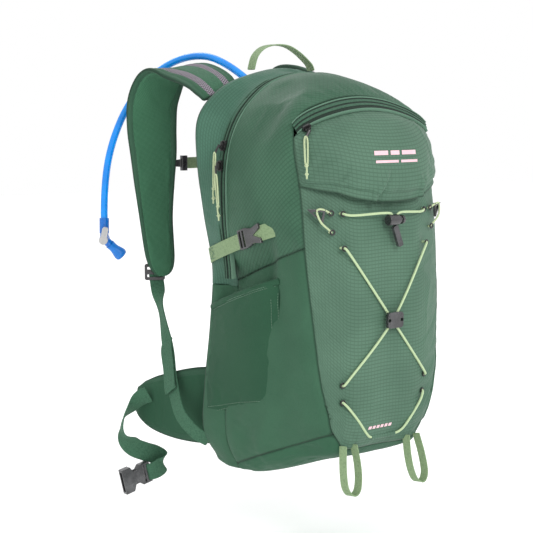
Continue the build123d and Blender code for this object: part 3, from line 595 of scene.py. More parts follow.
def mesh_knit(name, base, hole, light, pitch=0.0024, slant=0.6):
    """Spacer mesh: rows of small dark holes, every second row shifted."""
    p = Paint(name, roughness=0.88, sheen=0.03)
    u, v = p.cut()
    a = p.math("SINE", p.math("MULTIPLY", p.math("MULTIPLY_ADD", v, slant, u), 2 * math.pi / pitch))
    b = p.math("SINE", p.math("MULTIPLY", p.math("MULTIPLY_ADD", u, -slant, v), 2 * math.pi / pitch))
    field = p.math("MULTIPLY", a, b)
    colour = p.mix(p.ramp(field, -0.2, 0.75), base, hole)
    colour = p.mix(p.ramp(field, -0.9, -0.35, 0.5, 0.0), colour, light)
    colour = seam_shade(p, colour, hole)
    return p.finish(colour, p.math("MULTIPLY", field, -1.0), 0.0005, 0.8)


GREEN = dict(base=(0.065, 0.135, 0.090), light=(0.081, 0.162, 0.109), deep=(0.014, 0.042, 0.023))
front_ripstop = ripstop("ripstop_front", angle=0, **GREEN)
# The hood's slanted ripstop is the front's cloth made darker: painted shade of the bag's sides.
shaded_slant_ripstop = ripstop("ripstop_slanted_shaded", (0.031, 0.095, 0.054), (0.046, 0.126, 0.074),
                        (0.008, 0.035, 0.018), angle=38)
gusset_ripstop = ripstop("ripstop_gusset", (0.046, 0.124, 0.082), (0.059, 0.151, 0.102),
                         (0.012, 0.043, 0.026), angle=0, pitch=0.0044)
# The side cloth is darker than the front's cloth: partly its own colour, partly painted shade of the bag's
# sides.
side_cloth = plain_weave("side_cloth", (0.026, 0.086, 0.047), (0.037, 0.110, 0.062), (0.006, 0.026, 0.013))
base_cloth = plain_weave("base_cloth", (0.024, 0.088, 0.047), (0.030, 0.104, 0.056), (0.005, 0.026, 0.013))
stretch_cloth = plain_weave("stretch_cloth", (0.016, 0.066, 0.034), (0.021, 0.080, 0.041),
                            (0.004, 0.023, 0.012), 0.85, 0.04, 0.0008)
binding = plain_weave("binding_tape", (0.026, 0.082, 0.047), (0.040, 0.108, 0.064), (0.007, 0.028, 0.015),
                      0.8, 0.04, 0.0009, 0.00025)
strap_mesh = mesh_knit("strap_mesh", (0.060, 0.195, 0.105), (0.016, 0.069, 0.035), (0.132, 0.330, 0.195))
grey_mesh = mesh_knit("grey_mesh", (0.250, 0.228, 0.262), (0.045, 0.036, 0.046), (0.38, 0.35, 0.39),
                      pitch=0.0036, slant=0.25)
back_mesh = mesh_knit("back_mesh", (0.024, 0.026, 0.027), (0.004, 0.005, 0.005), (0.050, 0.053, 0.055),
                      pitch=0.0030)
sage_webbing = webbing_cloth("sage_webbing", (0.213, 0.315, 0.162), (0.276, 0.385, 0.216),
                             (0.101, 0.164, 0.077))
green_webbing = webbing_cloth("green_webbing", (0.040, 0.125, 0.070), (0.062, 0.160, 0.096),
                              (0.012, 0.048, 0.027))


def cord_braid(name, base, dark):
    """A braided elastic's cover: light with small dark flecks on two crossing helices."""
    p = Paint(name, roughness=0.75, sheen=0.1)
    u, v = p.cut()
    rise, turn = 2 * math.pi / 0.0030, 2 * math.pi / 0.0034
    a = p.math("SINE", p.math("MULTIPLY_ADD", v, rise, p.math("MULTIPLY", u, turn)))
    b = p.math("SINE", p.math("SUBTRACT", p.math("MULTIPLY", v, rise), p.math("MULTIPLY", u, turn)))
    field = p.math("MULTIPLY", a, b)
    return p.finish(p.mix(p.ramp(field, 0.25, 0.85), base, dark), field, 0.0003, 0.7)


elastic_braid = cord_braid("elastic_braid", (0.49, 0.62, 0.37), (0.26, 0.36, 0.17))
pull_braid = cord_braid("pull_braid", (0.50, 0.59, 0.36), (0.16, 0.21, 0.08))


# %% Plastics and metals
def moulded(name, base, light, roughness=0.42, metallic=0.0, grain=1200.0, coat=0.0):
    """Moulded or cast surface: a fine grain, and slow changes of gloss as handling leaves them."""
    p = Paint(name, roughness=roughness, metallic=metallic, coat=coat)
    wear = p.ramp(p.noise(60.0, 4.0), 0.35, 0.75)
    colour = p.mix(wear, base, light)
    rough = p.ramp(p.noise(90.0, 3.0), 0.3, 0.7, roughness - 0.08, roughness + 0.10)
    return p.finish(colour, p.noise(grain, 2.0), 0.00006, 0.5, rough)


hardware_plastic = moulded("hardware_plastic", (0.020, 0.020, 0.022), (0.052, 0.052, 0.056), 0.24, 0.0,
                           1200.0, 0.5)
buckle_plastic = moulded("buckle_plastic", (0.060, 0.061, 0.064), (0.130, 0.131, 0.135), 0.26, 0.55)
slider_paint = moulded("slider_paint", (0.006, 0.006, 0.006), (0.018, 0.018, 0.018), 0.30)
lever_plastic = moulded("lever_plastic", (0.42, 0.42, 0.42), (0.47, 0.46, 0.45), 0.45)
valve_plastic = moulded("valve_plastic", (0.0, 0.120, 0.48), (0.0, 0.150, 0.56), 0.25, 0.0, 300.0, 0.1)
mouth_silicone = moulded("mouth_silicone", (0.0, 0.150, 0.54), (0.0, 0.180, 0.62), 0.45, 0.0, 500.0)
frame_plastic = moulded("frame_plastic", (0.030, 0.030, 0.030), (0.045, 0.045, 0.045), 0.5)
bladder_film = moulded("bladder_film", (0.42, 0.60, 0.72), (0.50, 0.68, 0.80), 0.2, 0.0, 200.0)
marking_ink = moulded("marking_ink", (0.74, 0.48, 0.53), (0.80, 0.53, 0.58), 0.6)
hose_paint = Paint("hose_blue", roughness=0.2, coat=0.12)
hose_around = hose_paint.ramp(hose_paint.noise(40.0, 2.0), 0.35, 0.65)
hose_blue = hose_paint.finish(hose_paint.mix(hose_around, (0.0, 0.22, 0.74), (0.0, 0.27, 0.82)),
                              hose_paint.noise(220.0, 1.0), 0.0001, 0.3)
print("materials:", len(bpy.data.materials))

# %% [markdown]
# ## Panels and their seams
# A sewn bag is flat cloth pulled into shape at its seams, so each panel gets its own grid that ends
# exactly on its seam lines. The distance to the nearest edge drives three things at once: how far the
# panel swells, how the cloth puckers beside the stitches, and where the material darkens.

# %% Seam lines
SEAM_ROWS = np.array([(30, -97), (50, -99), (68, -100.5), (96, -103), (130, -102), (193, -97), (241, -92),
                      (300, -85.5), (331, -82), (366, -76), (432, -63), (470, -57)], float)
seam_y = lambda z: ease(z, SEAM_ROWS[:, 0], SEAM_ROWS[:, 1])[..., 0]
side_seam_z = lambda y: 228 + (84 - np.asarray(y)) * 65 / 177
base_seam_z = lambda y: 10 - (np.asarray(y) - 50) * 0.37 / 0.93
rim_z = lambda y: 206 + (84 - np.asarray(y)) * 50 / 144


def recess(y, z):
    """Millimetres that the side falls in behind the pocket's open rim."""
    up = smooth(z - rim_z(y), -50, -6) * (1 - smooth(z - side_seam_z(y), -4, 48))
    return 13 * up * smooth(y, -50, -22) * (1 - smooth(y, 60, 89))


def dented(p):
    """Points with the side recess applied."""
    p = np.array(p)
    p[..., 0] -= np.sign(p[..., 0]) * recess(p[..., 1], p[..., 2])
    return p


def strip_of_skin(columns, count, low_turn, high_turn, back, front):
    """Grid on the skin: columns between two turns, rows from depth back to the line front(z)."""
    u, v = np.linspace(0, 1, columns)[:, None], np.linspace(0, 1, count)[None, :]
    y = back + v * (-85.0 - back) + 0 * u
    for _ in range(8):
        q = low_turn(y) + (high_turn(y) - low_turn(y)) * u
        p = skin(q, y)
        y = back + v * (front(p[..., 2]) - back)
    return dented(skin(q, y))


def lengths(p, axis):
    """Running length in mm along one direction of a grid."""
    step = np.linalg.norm(np.diff(p, axis=axis), axis=-1)
    shape = list(step.shape)
    shape[axis] = 1
    return np.concatenate([np.zeros(shape), np.cumsum(step, axis=axis)], axis=axis)


def edge_distance(p, ends=(True, True, True, True)):
    """Distance in mm from each grid point to the nearest sewn edge.
    ends: whether the first row, last row, first column and last column are sewn."""
    s, t = lengths(p, 0), lengths(p, 1)
    far = np.full(s.shape, 999.0)
    options = (s, s[-1:] - s, t, t[:, -1:] - t)
    return np.minimum.reduce([np.where(np.full(s.shape, sewn), option, far) for sewn,
                              option in zip(ends, options)])


def outward(p, heart=(0.0, 0.0, 250.0)):
    """Normals of a grid, turned away from the bag's heart."""
    n = grid_normals(p)
    side = np.sign(np.sum(n * (p - np.array(heart))))
    return n * side


def puckers(p, away, seed):
    """Small ridges beside the seam, 7 mm apart, fading over 10 mm."""
    return lattice_noise(p, 7.0, seed) * np.exp(-away / 10.0) * smooth(away, 0.0, 2.5)


FOLDS = ((90.0, 2.3), (34.0, 1.3))       # size and height of the slow folds, mm


def folds(p, seed, lean):
    """Slow folds, noise stretched along a leaning direction, and a few sharper ridges."""
    turned = np.array(p)
    turned[..., 2] = p[..., 2] * 0.45 + p[..., 1] * lean[0] + p[..., 0] * lean[1]
    waves = sum(d * lattice_noise(turned + 31 * k, size, seed + k) for k, (size, d) in enumerate(FOLDS))
    ridge = 1 - np.abs(lattice_noise(turned * [1, 1, 0.7] + 7, 30.0, seed + 5)) * 2.6
    return waves + 1.5 * np.clip(ridge, 0, 1) ** 2 * smooth(lattice_noise(p, 70.0, seed + 6), -0.1, 0.4)


def panel(name, p, material, seed, swell=3.0, reach=16.0, wrinkle=1.0, ends=(True, True, True, True),
          seams=None,
          bulge=0.0, creases=0.0, pressure=1.6, spare=0.012, limit=4.0, wall=1.2, inside=None,
          lean=(0.0, 0.0)):
    """A sewn panel: swollen between its held edges, settled, creased and puckered beside its seams."""
    away = edge_distance(p, ends)
    sewn = edge_distance(p, seams or ends)
    normal = outward(p, (0.0, 0.0, 250.0) if inside is None else inside)
    shaped = p + normal * (swell * (1 - np.exp(-away / reach)) + bulge)[..., None]
    s, t = lengths(p, 0), lengths(p, 1)
    centre = s.shape[0] // 2
    uv = np.stack([s - s[centre:centre + 1], t], -1) / 1000
    piece = lay(name, shaped, uv, materials=(material,), marks={"seam": np.clip(sewn, 0, 60)}, inside=inside)
    settle(piece, np.where(away < 0.6, 1.0, 0.0), pressure, spare, limit=limit)
    small = puckers(p, sewn, seed + 9) - 0.9 * np.exp(-((sewn / 1.6) ** 2))
    slow = wrinkle * folds(p, seed, lean) * smooth(away, 0, 24)
    relief(piece, slow + small * smooth(away, -0.5, 2) + creases)
    refine(piece)
    thicken(piece, wall)
    return piece


# %% [markdown]
# ## Rear gusset and hood
# The gusset is the band between the wearer's side and the main zipper. The hood is everything from the
# zipper forward to the front seam, over the top and down both shoulders of the bag.

# %% Gusset
GUSSET_LOW_Z = 232.0
split_turn = lambda y: turn_at(GUSSET_LOW_Z + 0 * y, y)
at_zip = lambda z: np.full(np.shape(z), ZIP_Y)
gusset_grid = strip_of_skin(250, 12, split_turn, lambda y: 2 - split_turn(y), 92.0, at_zip)
gusset = panel("gusset_cloth", gusset_grid, gusset_ripstop, 3, swell=1.6, reach=8, wrinkle=0.45,
               ends=(False, False, True, True), pressure=0.8, limit=2.0, lean=(0.3, 0.0))
give(gusset, "root", "ripstop", "rear_gusset")
low_gusset_grid = strip_of_skin(170, 12, lambda y: -split_turn(y), split_turn, 92.0, at_zip)
low_gusset = panel("gusset_low", low_gusset_grid, side_cloth, 5, swell=1.6, reach=8, wrinkle=0.45,
                   ends=(False, False, True, True), seams=(False, False, True, False), pressure=0.8,
                   limit=2.0)
give(low_gusset, "root", "side_cloth")

# %% Hood
left_side_turn = lambda y: turn_at(side_seam_z(y), y)
hood_grid = strip_of_skin(230, 34, left_side_turn, lambda y: 2 - left_side_turn(y), ZIP_Y, seam_y)
hood = panel("hood_cloth", hood_grid, shaded_slant_ripstop, 11, swell=2.6, wrinkle=1.0, lean=(0.5, 0.0))
give(hood, "root", "ripstop", "hood_panel")

# %% [markdown]
# ## Lower sides, base and stretch pockets
# Below a seam that rises forward, the sides are plain coated cloth, gathered a little over the base.
# A stretch pocket lies over each, open along its slanting rim, and the side behind the rim falls
# inwards so that the pocket gapes.

# %% Lower sides and base
left_base_turn = lambda y: turn_at(base_seam_z(y), y)
side_grid = strip_of_skin(64, 34, left_base_turn, left_side_turn, ZIP_Y, seam_y)
low_side = 1 - smooth(side_grid[..., 2], 60, 118)
phase = side_grid[..., 1] / 6.5 + side_grid[..., 2] / 14 + 2 * lattice_noise(side_grid, 45, 5)
gathers = 1.3 * low_side * np.sin(phase)
gathers *= smooth(edge_distance(side_grid), 0, 14)
for (hand, flip), seed in zip(HANDS, (22, 21)):
    side = panel(f"side_cloth_{hand}", side_grid * [flip, 1, 1], side_cloth, seed, swell=2.2, wrinkle=0.9,
                 creases=gathers,
                 seams=(True, True, False, True))
    give(side, "root", "side_cloth", f"side_panel_{hand}")
base_grid = strip_of_skin(120, 34, left_base_turn, lambda y: 0 * y, ZIP_Y, seam_y)
base_grid = np.concatenate([base_grid, (base_grid * MIRROR)[-2::-1]])
base = panel("base_cloth", base_grid, base_cloth, 41, swell=0.8, wrinkle=0.5, pressure=0.6, limit=2.0)
give(base, "root", "dark_cloth", "bottom_panel")


# %% Coons patch
def coons(bottom, top, left, right):
    """Surface between four curves: both rulings minus the bilinear corner patch."""
    a = np.linspace(0, 1, len(bottom))[:, None, None]
    b = np.linspace(0, 1, len(left))[None, :, None]
    ruled_up = (1 - b) * bottom[:, None] + b * top[:, None]
    ruled_across = (1 - a) * left[None] + a * right[None]
    corners = (1 - a) * (1 - b) * bottom[0] + a * (1 - b) * bottom[-1]
    corners = corners + (1 - a) * b * top[0] + a * b * top[-1]
    return ruled_up + ruled_across - corners


# %% Stretch pockets
POCKET_FOOT = [(90, 66), (62, 74), (45, 80), (20, 88), (4, 92), (-20, 99)]
POCKET_BROW = [(-20, 99), (-38, 109), (-47, 124), (-51, 145), (-50, 179), (-48, 215), (-47, 250)]
foot, brow = through(POCKET_FOOT, 60), through(POCKET_BROW, 60)
rear_edge = np.stack([np.full(60, 90.0), np.linspace(66, rim_z(90.0), 60)], 1)
rim_y = np.linspace(90, -47, 60)
rim_line = np.stack([rim_y, rim_z(rim_y)], 1)
flat_pocket = coons(foot, rim_line, rear_edge, brow)
POCKET_SEWN = (True, True, True, False)  # all but the rim
pocket_y, pocket_z = flat_pocket[..., 0], flat_pocket[..., 1]
share = np.linspace(0, 1, 60)
stretch_rise = 3.6 + 5.0 * np.sin(np.pi * share)[:, None] * smooth(share, 0, 0.9)[None, :]
pocket_gap = edge_distance(np.stack([pocket_y * 0, pocket_y, pocket_z], -1), POCKET_SEWN)
pocket_x = half_width(pocket_y, pocket_z) + stretch_rise * smooth(pocket_gap, -3, 20)
pocket_grid = np.stack([-pocket_x, pocket_y, pocket_z], -1)
tugs = 0.8 * lattice_noise(pocket_grid * np.array([1, 0.35, 0.9]), 16, 77)
tugs = tugs * smooth(pocket_z - rim_z(pocket_y), -70, -5)


def tube_along(name, line, radius, material, around=10, flatten=1.0, normal=None):
    """A round or flattened bead along a line of points: circle carried square to the path."""
    line = np.asarray(line, float)
    run = unit(np.gradient(line, axis=0))
    up = np.array([0.0, 0.0, 1.0]) if normal is None else np.asarray(normal, float)
    side = unit(np.cross(run, up))
    lift = unit(np.cross(side, run))
    angle = np.linspace(0, 2 * np.pi, around, endpoint=False)
    radius = np.broadcast_to(np.asarray(radius, float), (len(line),))
    c, s = np.cos(angle)[None, :, None], np.sin(angle)[None, :, None]
    ring = side[:, None] * c + lift[:, None] * flatten * s
    grid = line[:, None] + ring * radius[:, None, None]
    along = running(line)
    wrap = np.linspace(0, 2 * np.pi, around + 1)[None, :] * radius[:, None]
    uv = np.stack([wrap, np.repeat(along[:, None], around + 1, 1)], -1) / 1000
    return lay(name, grid, uv, round_grid=True, materials=(material,),
               marks={"seam": np.full(grid.shape[:2], 40.0)})


for hand, flip in HANDS:
    grid = pocket_grid * np.array([flip, 1, 1])
    stretch = panel(f"stretch_pocket_{hand}", grid, stretch_cloth, 55, swell=1.0, reach=10, wrinkle=0.35,
                    ends=POCKET_SEWN, creases=tugs, pressure=1.2, spare=0.004, limit=3.0, wall=1.4)
    hem = tube_along(f"pocket_hem_{hand}", through(grid[:, -1] + [0, 0, -1.0], 90), 2.0, stretch_cloth,
                     flatten=2.0)
    give(stretch, "root", "stretch_cloth", f"side_pocket_{hand}")
    give(hem, "root", "stretch_cloth")
print("pocket rim from", grid[0, -1].round(0), "to", grid[-1, -1].round(0))

# %% [markdown]
# ## Front panel and front pocket
# The front is one rounded panel inside the front seam. Over its top sits a pocket that bulges
# forward like a brow: its lower edge hangs over the panel, held in by two small pleats, and its
# zipper runs across in an arc.

# %% Front panel
def on_seam(turns):
    """Points of the front seam at turns q."""
    turns = np.asarray(turns, float)
    y = np.full(turns.shape, -90.0)
    for _ in range(12):
        y = seam_y(skin(turns, y)[..., 2])
    return skin(turns, y)


dense_turns = np.linspace(0.0, 1.0, 600)
dense_seam = on_seam(dense_turns)
turn_of_seam_z = lambda z: np.interp(z, dense_seam[60:, 2], dense_turns[60:])
CORNER_Z, SHELF_Z = 96.0, 378.0
corner_turn = turn_of_seam_z(CORNER_Z)
foot_turns = np.concatenate([np.linspace(corner_turn, 0, 56), -np.linspace(0, corner_turn, 56)[1:]])
foot_curve = on_seam(np.abs(foot_turns)) * np.where(foot_turns < 0, -1, 1)[:, None] ** np.array([1, 0, 0])
left_curve = on_seam(turn_of_seam_z(np.linspace(CORNER_Z, SHELF_Z, 90)))
right_curve = left_curve * MIRROR
across = np.linspace(-1, 1, len(foot_curve))
top_curve = np.stack([
    across * -left_curve[-1, 0],
    left_curve[-1, 1] + (front_depth(0, 362.0) - left_curve[-1, 1] + 5) * (1 - np.abs(across) ** 2.6),
    SHELF_Z - 20 * (1 - np.abs(across) ** 3),
], 1)


def front_patch(bottom, top, left, right):
    """Coons patch whose depth follows the front map, corrected so that it still meets its edges."""
    lines = [np.array(line) for line in (bottom, top, left, right)]
    flat = coons(*lines)
    shift = [np.stack([line[:, 1] - front_depth(line[:, 0], line[:, 2])] * 3, 1) for line in lines]
    flat[..., 1] = front_depth(flat[..., 0], flat[..., 2]) + coons(*shift)[..., 0]
    return flat


front_grid = front_patch(foot_curve, top_curve, left_curve, right_curve)
crown = 1 - smooth(np.abs(across), 0.2, 0.5)[:, None]
for _ in range(60):
    rounder = (front_grid[2:, :, 1] + 2 * front_grid[1:-1, :, 1] + front_grid[:-2, :, 1]) / 4
    front_grid[1:-1, 1:, 1] += (crown[1:-1] * (rounder - front_grid[1:-1, :, 1]))[:, 1:]
pull_in = np.zeros(front_grid.shape[:2])
EYELETS = ((63.4, 330), (64.2, 290), (64.3, 129), (62.9, 108))
for x, z in EYELETS:
    for hand in (-1, 1):
        gap = np.hypot(front_grid[..., 0] - hand * x, front_grid[..., 2] - z)
        pull_in -= 1.6 * np.exp(-(gap / 7) ** 2)
front_cloth = panel("front_cloth", front_grid, front_ripstop, 61, swell=2.4, wrinkle=0.8, creases=pull_in,
                    lean=(0.0, 0.5))
give(front_cloth, "root", "ripstop", "front_panel")

# %% Front pocket
ZIP_LOW = [(-101, -70, 421), (-93, -73, 427), (-68, -77, 437), (-34, -80, 445), (0, -81, 448)]
ZIP_TOP = [(-104.5, -62, 434), (-92, -61, 443), (-70, -60, 452), (-35, -59.5, 461), (0, -59, 464)]
POCKET_LOW = [(-105, -79, 362), (-92, -94, 358), (-72, -107, 354), (-48, -115, 347), (-20, -119, 343),
              (10, -119.5, 342), (40, -117, 344), (60, -112, 349), (76, -106, 355), (92, -94, 360),
              (105, -79, 364)]
mirror_line = lambda line: line + [(-x, y, z) for x, y, z in line[-2::-1]]
zip_low, zip_top = through(mirror_line(ZIP_LOW), 111), through(mirror_line(ZIP_TOP), 111)
pocket_low = through(POCKET_LOW, 111)
left_seam, right_seam = (on_seam(turn_of_seam_z(np.linspace(z, 417, 7))) for z in (366, 368))
left_edge = through(np.array([pocket_low[0], *left_seam, zip_low[0]]), 52)
right_edge = through(np.array([pocket_low[-1], *(right_seam * MIRROR), zip_low[-1]]), 52)
pocket_front = front_patch(pocket_low, zip_low, left_edge, right_edge)
px, pz = pocket_front[..., 0], pocket_front[..., 2]
up = np.linspace(0, 1, 52)[None, :]
side_share = np.linspace(-1, 1, 111)[:, None]
bulge = 13.0 * np.sin(np.pi * np.clip(up, 0, 1) ** 0.62) ** 0.75 * (1 - np.abs(side_share) ** 3.2)
bulge *= smooth(edge_distance(pocket_front), -3, 12)


def pleat(x0, z0, x1, z1, depth):
    """A crease along a line with a soft lip beside it."""
    run = np.array([x1 - x0, z1 - z0])
    size = np.hypot(*run)
    s = ((px - x0) * run[0] + (pz - z0) * run[1]) / size
    off = ((px - x0) * run[1] - (pz - z0) * run[0]) / size
    fade = smooth(s, -10, 0) * (1 - smooth(s, size * 0.55, size))
    return fade * (0.9 * depth * np.exp(-((off + 5.5) / 4.5) ** 2) - 0.7 * depth * np.exp(-(off / 2.4) ** 2))


creases = pleat(-20, 343, -2, 378, 5.5) + pleat(58, 346, 44, 374, 5.5) + pleat(-64, 352, -46, 372, 2.0)
front_pocket = panel("front_pocket_cloth", pocket_front, front_ripstop, 71, swell=2.0, reach=9, wrinkle=0.8,
                     bulge=bulge, creases=creases, inside=(0, 60, 380))
give(front_pocket, "root", "ripstop", "front_pocket")

# %% [markdown]
# ## Zippers
# A zipper here is a band of narrow folds: two tapes, a slit with the coil behind it, and a lighter
# piping on the outer side. The profile, a list of heights across the band, is carried along the seam.

# %% Main zipper
zip_tape = webbing_cloth("zip_tape_cloth", (0.040, 0.104, 0.064), (0.058, 0.136, 0.086),
                         (0.014, 0.044, 0.026))
# Near-black cloth laid in the zipper's slit and in the low grooves of the band: painted shade.
zip_slit_groove_shade = webbing_cloth("zip_slit_groove_shade_cloth", (0.010, 0.022, 0.015), (0.020, 0.042, 0.028),
                         (0.003, 0.008, 0.005))
piping = plain_weave("piping", (0.080, 0.165, 0.112), (0.115, 0.215, 0.150), (0.030, 0.080, 0.050))


def zip_band(name, base, away, profile, kinds, materials):
    """Heights across a band, in a column for each profile entry, added along the band's normals."""
    heights = np.array([height for _, height in profile])
    uv = np.stack([lengths(base, 1), lengths(base, 0)], -1) / 1000
    marks = {"seam": np.full(base.shape[:2], 40.0)}
    return refine(lay(name, base + away * heights[None, :, None], uv, materials=materials, columns=kinds,
                      marks=marks))


MAIN_PROFILE = [(11.5, -1.4), (10.2, 1.6), (8.8, 2.5), (7.2, 2.4), (6.2, 0.9), (5.0, 2.5), (3.4, 3.0),
                (1.8, 3.0),
                (0.7, 1.5), (0.0, 1.1), (-0.7, 1.5), (-1.8, 3.0), (-3.4, 3.0), (-5.0, 2.5), (-6.2, 0.9),
                (-7.0, 2.2),
                (-8.2, 3.7), (-9.6, 2.8), (-11.0, -1.4)]
# Material of each column: 0 binding, 1 tape, 2 painted shade in the slit and the grooves, 3 piping.
MAIN_KINDS = [0, 0, 0, 2, 2, 1, 1, 2, 2, 2, 2, 1, 1, 2, 2, 3, 3, 3]
low_turn = float(turn_at(np.array([243.0]), np.array([ZIP_Y]))[0])
zip_turns = np.linspace(low_turn, 2 - low_turn, 360)
zip_depths = ZIP_Y + np.array([depth for depth, _ in MAIN_PROFILE])
zip_base = skin(zip_turns[:, None], zip_depths[None, :])
zip_middle = skin(zip_turns, np.full(len(zip_turns), ZIP_Y))
zip_run = unit(np.gradient(zip_middle, axis=0))
zip_away = unit(np.cross(zip_run, [0.0, 1.0, 0.0]))
zip_away = zip_away * np.sign(np.sum(zip_away * (zip_middle - [0, ZIP_Y, 250]), axis=1, keepdims=True))
main_zip = zip_band("main_zip", zip_base, zip_away[:, None], MAIN_PROFILE, MAIN_KINDS,
                    (binding, zip_tape, zip_slit_groove_shade, piping))
give(main_zip, "root", "zip_dark", "zip_tape")

# %% Pocket zipper
POCKET_PROFILE = [(0.0, -2.0), (0.03, 1.8), (0.08, 2.8), (0.13, 2.2), (0.16, 0.6), (0.20, 1.2), (0.25, 1.2),
                  (0.29, 0.5),
                  (0.34, 1.8), (0.42, 2.4), (0.50, 1.9), (0.55, 0.7), (0.60, 1.9), (0.68, 2.4), (0.76, 1.8),
                  (0.81, 0.6),
                  (0.86, 2.2), (0.92, 3.0), (0.97, 2.0), (1.0, -2.0)]
# Material of each column: 0 tape, 1 painted shade in the slit and the grooves, 2 piping.
POCKET_KINDS = [2, 2, 2, 1, 1, 1, 1, 1, 0, 0, 1, 1, 0, 0, 0, 1, 2, 2, 2]
share = np.array([s for s, _ in POCKET_PROFILE])[None, :, None]
band_base = zip_low[:, None] * (1 - share) + zip_top[:, None] * share
band_away = outward(band_base, (0, 60, 380)).mean(axis=1, keepdims=True)
pocket_zip = zip_band("pocket_zip", band_base, band_away, POCKET_PROFILE, POCKET_KINDS,
                      (zip_tape, zip_slit_groove_shade, piping))
give(pocket_zip, "root", "zip_dark", "zip_teeth")

# %% [markdown]
# ## Back pads
# The wearer's side is one moulded foam sheet under knitted mesh. Its height is a sum of ten rounded
# pads, each a superellipse dome, over a flat base that rolls off at the outline.

# %% Back panel with pads
PAD_ROWS = ((400, 66), (322, 74), (244, 66), (166, 62), (88, 70))
back_z = np.linspace(7, 497, 190)
back_half = half_width(np.full(190, 91.0), back_z) - 2.0
back_half = np.maximum(back_half, 4.0)
back_x = np.linspace(-1, 1, 110)[:, None] * back_half[None, :]
back_height = np.broadcast_to(back_z[None, :], back_x.shape)
rim_gap = np.minimum(np.minimum(back_half[None, :] - np.abs(back_x), back_height - 6), 498 - back_height)
pads = np.zeros(back_x.shape)
for height, tall in PAD_ROWS:
    for hand in (-1, 1):
        aside, above = (back_x - hand * 52) / 37, (back_height - height) / (tall / 2 + 1)
        reach = (np.abs(aside) ** 4 + np.abs(above) ** 4) ** 0.25
        pads = np.maximum(pads, 8.6 * np.clip(1 - reach**5, 0, 1) ** 0.55)
yoke = 5.5 * np.clip(1 - (np.abs(back_x / 74) ** 4 + np.abs((back_height - 462) / 24) ** 4), 0, 1) ** 0.5
back_y = 92.6 + 6.2 * smooth(rim_gap, -1, 9) + np.maximum(pads, yoke) * smooth(rim_gap, 2, 12)
back_grid = np.stack([back_x, back_y, back_height], -1)
back_sheet = lay("back_foam", back_grid, np.stack([back_x, back_height], -1) / 1000, materials=(back_mesh,),
                 marks={"seam": 2.0 + 5 * smooth(np.abs(pads - 4.0), 0, 4) + rim_gap * 0.2},
                 inside=(0, 0, 250))
refine(back_sheet)
thicken(back_sheet, 2.0)
give(back_sheet, "root", "foam_mesh", "back_panel", "back_pods")

# %% [markdown]
# ## Straps, belts and webbing
# A belt is a cross-section carried along stations: a centre, a width and the direction across. Padded
# straps have a crowned section with a groove beside the binding; webbing has a flat one with
# slightly thicker selvedges.


# %% Sections carried along stations
def carried(stations, count):
    """Centres, half widths, across and face directions along the smoothed stations."""
    rows = through(np.array([[*centre, width, *across] for centre, width, across in stations], float), count)
    centre, half, across = rows[:, :3], rows[:, 3] / 2, rows[:, 4:7]
    run = unit(np.gradient(centre, axis=0))
    across = unit(across - run * np.sum(across * run, axis=1, keepdims=True))
    return centre, half, across, np.cross(across, run)


def belt(name, stations, section, materials, kinds=None, count=80, sway=0.0, seed=1, taper=(0.0, 0.0),
         flip=1.0):
    """Section (share across, millimetres up) carried along stations, with a slow sway off the line."""
    centre, half, across, face = carried(stations, count)
    section = np.asarray(section, float)
    s = np.linspace(0, 1, count)
    along = running(centre)
    thin = 1 - taper[0] * (1 - smooth(s, 0, 0.05)) - taper[1] * smooth(s, 0.93, 1.0)
    grid = centre[:, None] + across[:, None] * (half[:, None] * section[None, :, 0])[..., None]
    grid = grid + face[:, None] * (thin[:, None] * section[None, :, 1])[..., None]
    off = sway * lattice_noise(grid, 30, seed)
    grid = (grid + face[:, None] * off[..., None]) * np.array([flip, 1, 1])
    wrap = np.concatenate([section[:, 0], section[:1, 0]])
    uv = np.stack([half[:, None] * wrap[None, :], np.repeat(along[:, None], len(wrap), 1)], -1) / 1000
    near = 30 * (1 - np.abs(section[:, 0]))[None, :] + np.zeros((count, 1))
    return lay(name, grid, uv, round_grid=True, materials=materials, columns=kinds, marks={"seam": near})


LIP = 0.18                               # how far a selvedge stands above the webbing's face, mm


def flat_section(thickness):
    """Webbing: flat faces, selvedges a little thicker, rounded edges."""
    t = thickness / 2
    side = [(-1.0, 0.0), (-0.985, t * 0.8), (-0.93, t + LIP), (-0.84, t), (-0.5, t), (0.0, t), (0.5, t),
            (0.84, t),
            (0.93, t + LIP), (0.985, t * 0.8), (1.0, 0.0)]
    return side + [(a, -b) for a, b in side[-2:0:-1]]


def pad_section(thickness, inner, outer):
    """Padded strap: crowned faces, a groove at each share named in inner and outer."""
    def face(grooves, sign):
        shares = np.linspace(-0.985, 0.985, 33)
        crown = thickness / 2 * (1 - 0.30 * np.abs(shares / 0.8) ** 3)
        rolled = np.sqrt(np.clip(1.02 - ((np.abs(shares) - 0.8) / 0.2) ** 2, 0.05, 1))
        crown = np.where(np.abs(shares) > 0.8, thickness / 2 * 0.70 * rolled, crown)
        for groove in grooves:
            crown = crown - 1.3 * np.exp(-((np.abs(shares) - groove) / 0.035) ** 2)
        return [(a, sign * b) for a, b in zip(shares, crown)]
    top = face(inner, 1.0)
    bottom = face(outer, -1.0)
    return [(-1.0, 0.0)] + top + [(1.0, 0.0)] + bottom[::-1]


def zones(section, inner, outer):
    """Material number for each column: inner and outer list (share, number), from the edge inwards."""
    numbers = []
    for (a, b), (c, d) in zip(section, section[1:] + section[:1]):
        middle, table = abs(a + c) / 2, inner if b + d > 0 else outer
        numbers.append(next(number for bound, number in table if middle >= bound))
    return numbers


def bound_edge(section, count, share):
    """1 on the columns of a section outside that share of its half width, for settle()."""
    columns = np.abs(np.array([a for a, _ in section]))[None, :] + np.zeros((count, 1))
    return np.where(columns > share, 1.0, 0.0)


WEB = flat_section(1.7)


def webbing(name, stations, material, count, sway=0.0, seed=1, flip=1.0, section=WEB):
    """A flat strip of one material along stations."""
    return refine(belt(name, stations, section, (material,), None, count, sway, seed, (0, 0), flip))


